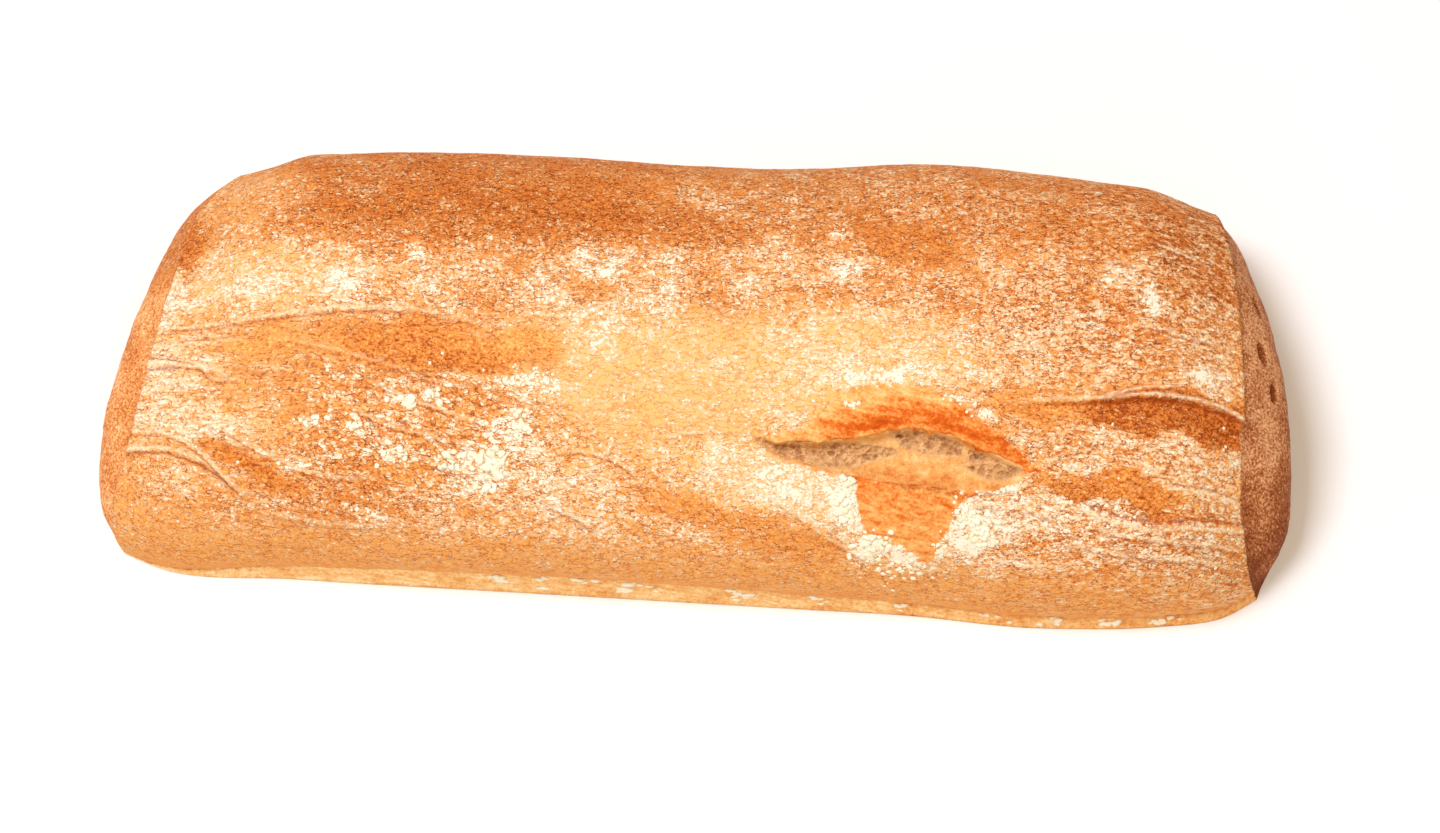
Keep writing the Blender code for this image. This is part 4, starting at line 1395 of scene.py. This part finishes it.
def open_crumb():
    """Moist beige crumb with painted shade in its pores, and orange skins of dough between the open places.
    """
    recipe = Recipe("open_crumb")
    place = recipe.place()
    fine, cloud = recipe.uneven(place, 0.3, 3.0, 0.65), recipe.uneven(place, 1.1, 4.0, 0.65)
    broad = recipe.uneven(place, 2.6, 3.0, 0.6)
    crumb_colour = recipe.ramp(recipe.mixture((0.35, fine), (0.25, cloud), (1.0, 0.5)), CRUMB_TONES)
    # Painted shade in the pores: the deeper a pore, the darker it is painted.
    deep = recipe.spread(recipe.attribute("pore_depth"), 0.2, 1.0, 0.0, 0.8)
    crumb_colour = recipe.blend(deep, crumb_colour, PORE_SHADE)
    near_lobe = recipe.attribute("near_lobe")
    skin_tone = recipe.mixture((0.34, cloud), (0.22, broad), (0.16, fine), (0.30, near_lobe), (1.0, 0.38))
    skin_colour = recipe.ramp(skin_tone, SKIN_TONES)
    ragged = recipe.mixture((1.0, recipe.attribute("crumb_edge")), (0.5, cloud))
    colour = recipe.blend(recipe.spread(ragged, -0.3, 0.3), skin_colour, crumb_colour)
    recipe.bumps(fine, 0.12)
    return recipe.finished(colour, 0.75, shine=0.25)


crumb_mesh.materials.append(open_crumb())
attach(crumb, "root")
print("crumb finish:", crumb_mesh.materials[0].name)

# %% [markdown]
# ## Lumps of flour
# Where flour was thrown on thickly it clotted into white lumps as large as a pinhead, and a few
# flat flakes hang on the foot. They stand out from the crust, so they are small bodies: a rough
# ball, squashed and sunk into the crust. Hundreds of such balls joined into one mesh are as easy to
# handle as one.

# %% Heaps, strays and flakes
# Heaps: middle (x, y), half size, number of lumps and their usual radius.
HEAPS = (
    ((-46, -34), (5, 3), 34, 0.95), ((-53, -33), (4, 2.4), 16, 0.85), ((-49, -38), (4, 2), 16, 0.8),
    ((-67, -22), (3, 1.2), 12, 0.85), ((-78, -27), (4, 1.2), 12, 0.75), ((-69, -33), (3.6, 2.6), 22, 0.6),
    ((-60, -20), (2.4, 1.2), 9, 0.8), ((-88, -26), (3, 1.2), 9, 0.6), ((-40, -25), (3, 4), 24, 0.7),
    ((-36, -16), (5, 2.4), 24, 0.7), ((42.5, -46), (5, 2.2), 60, 0.75), ((49.5, -48.6), (6, 1.3), 44, 0.65),
    ((35.4, -35.5), (1.6, 4), 34, 0.75), ((37, -40.5), (1.8, 3), 34, 0.75),
    ((67.5, -43), (2.8, 3), 36, 0.8), ((63, -39.5), (2.2, 2.4), 26, 0.7), ((62, -34.2), (1.0, 1.6), 7, 0.6),
    ((70, -34.5), (6, 1.6), 26, 0.5), ((57.5, -45), (2.2, 2.0), 14, 0.55), ((38, -11), (6, 1.6), 22, 0.45),
    ((60, -15.6), (4, 0.9), 12, 0.45), ((66, -18.6), (3, 1.0), 10, 0.45),
    ((36, -17.6), (2.4, 1.2), 10, 0.5), ((104, 11.5), (2.4, 3.4), 12, 0.45), ((-83, 7), (4, 3), 12, 0.4),
    ((88, -36.6), (9, 1.4), 20, 0.42), ((-76, -44), (4, 1.8), 12, 0.45), ((-92, -35.6), (4, 1.2), 9, 0.42),
    ((20, -38.5), (9, 1.6), 16, 0.42), ((-34, -37), (4, 3), 12, 0.4),
)
STRAY_LUMPS = 260
# Flakes of dough and flour on the foot: place along the loaf, number and radius.
FOOT_FLAKES = (
    (-46, 6, 0.9), (-36, 3, 1.1), (-24, 4, 0.9), (-17, 2, 1.2), (-10, 3, 0.9), (12, 7, 0.9), (31, 5, 0.6),
    (52, 4, 0.6), (70, 5, 0.6), (86, 5, 0.7), (100, 8, 0.6), (112, 8, 0.6),
)
LUMP_ROUGH, LUMP_FLAT, LUMP_STANDS = 0.22, 0.32, 0.12     # shares of a lump's radius
FLAKE_LONG = 1.7         # a flake's length over its radius
print("heaps:", len(HEAPS), "strays:", STRAY_LUMPS, "flakes:", sum(count for _, count, _ in FOOT_FLAKES))

# %% Places for the lumps
bpy.context.view_layer.update()
surface = BVHTree.FromObject(crust, bpy.context.evaluated_depsgraph_get())


def lump_places(luck):
    """Places on the crust for every lump: x, y and radius, in millimetres."""
    for middle, size, count, radius in HEAPS:
        for _ in range(count):
            spread_x, spread_y = luck.normal(0, 0.55, 2)
            at_x, at_y = middle[0] + spread_x * size[0], middle[1] + spread_y * size[1]
            yield at_x, at_y, radius * luck.uniform(0.3, 1.25)
    strays = 0
    while strays < STRAY_LUMPS:
        x, y = luck.uniform(-120, 126), luck.uniform(-47, 30)
        i = int(np.argmin(np.abs(X[:, rows // 2] - x)))
        j = int(np.argmin(np.abs(Y[i] - y) + 100 * (Z[i] < 20)))
        if luck.uniform() < thick[i, j] + 0.25 * flour[i, j] * (seen_y[i, j] < -10) and new_edge[i, j] < -0.5:
            strays += 1
            yield x, y, luck.uniform(0.22, 0.42)


def lump_hits(luck):
    """Where a lump meets the crust, the crust's normal there, the lump's radius, length and turn."""
    for x, y, radius in lump_places(luck):
        hit, normal, _, _ = surface.ray_cast(Vector((x * MM, y * MM, 0.2)), Vector((0, 0, -1)))
        if hit:
            yield hit, normal, radius, luck.uniform(0.8, 1.3), luck.uniform(0, 6.28)
    for x, count, radius in FOOT_FLAKES:
        for _ in range(count):
            start = Vector((x + luck.normal(0, 2.2), -80, through(FOOT, x) * luck.uniform(0.35, 0.95))) * MM
            hit, normal, _, _ = surface.ray_cast(start, Vector((0, 1, 0)))
            if hit:
                yield hit, normal, radius * luck.uniform(0.5, 1.1), FLAKE_LONG, luck.normal(0, 0.25)


print("faces that a lump can land on:", len(crust_mesh.polygons))

# %% Drop lumps onto the crust
ball = bmesh.new()
bmesh.ops.create_icosphere(ball, subdivisions=2, radius=1)
ball_points = np.array([vertex.co for vertex in ball.verts])
ball_faces = [tuple(vertex.index for vertex in face.verts) for face in ball.faces]
ball.free()
luck = np.random.default_rng(131)
lump_points, lump_faces = [], []
for hit, normal, radius, length, angle in lump_hits(luck):
    turn = normal.to_track_quat("Z", "Y").to_matrix() @ Matrix.Rotation(angle, 3, "Z")
    rough_ball = ball_points * (1 + LUMP_ROUGH * luck.standard_normal((len(ball_points), 1)))
    squashed = rough_ball * (radius * length, radius * luck.uniform(0.7, 1.1), radius * LUMP_FLAT)
    centre = np.array(hit) / MM + np.array(normal) * radius * LUMP_STANDS
    first = len(lump_points)
    lump_points.extend(squashed @ np.array(turn).T + centre - (*TO_MIDDLE, 0))
    lump_faces.extend(tuple(first + k for k in face) for face in ball_faces)
lump_mesh = mesh_of("flour_lumps", lump_points, lump_faces)
lumps = piece_of("flour_lumps", lump_mesh)


# %% Material: lumps of flour
def clotted_flour():
    """White flour, a little toasted."""
    recipe = Recipe("clotted_flour")
    place = recipe.place()
    toast = recipe.spread(recipe.noise(place, 1.5, 3.0, 0.6), 0.35, 0.65)
    colour = recipe.blend(toast, srgb(255, 250, 230), srgb(255, 240, 206))
    recipe.bumps(recipe.noise(place, 0.25, 4.0, 0.7), 0.06)
    return recipe.finished(colour, 0.95, shine=0.1)


lump_mesh.materials.append(clotted_flour())
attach(lumps, "root")
print("lump finish:", lump_mesh.materials[0].name)

# %% [markdown]
# ## Size
# The dressed loaf has to stay as large as the solid. Both boxes are written down for comparison.

# %% Print both sizes
new_box = [[float(v) for v in corner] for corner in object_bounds()]
for name, cad_side, new_side in zip("XYZ", zip(*cad_box), zip(*new_box)):
    print(name, "solid in mm:", [round(v / MM, 2) for v in cad_side])
    print(name, "dressed in mm:", [round(v / MM, 2) for v in new_side])
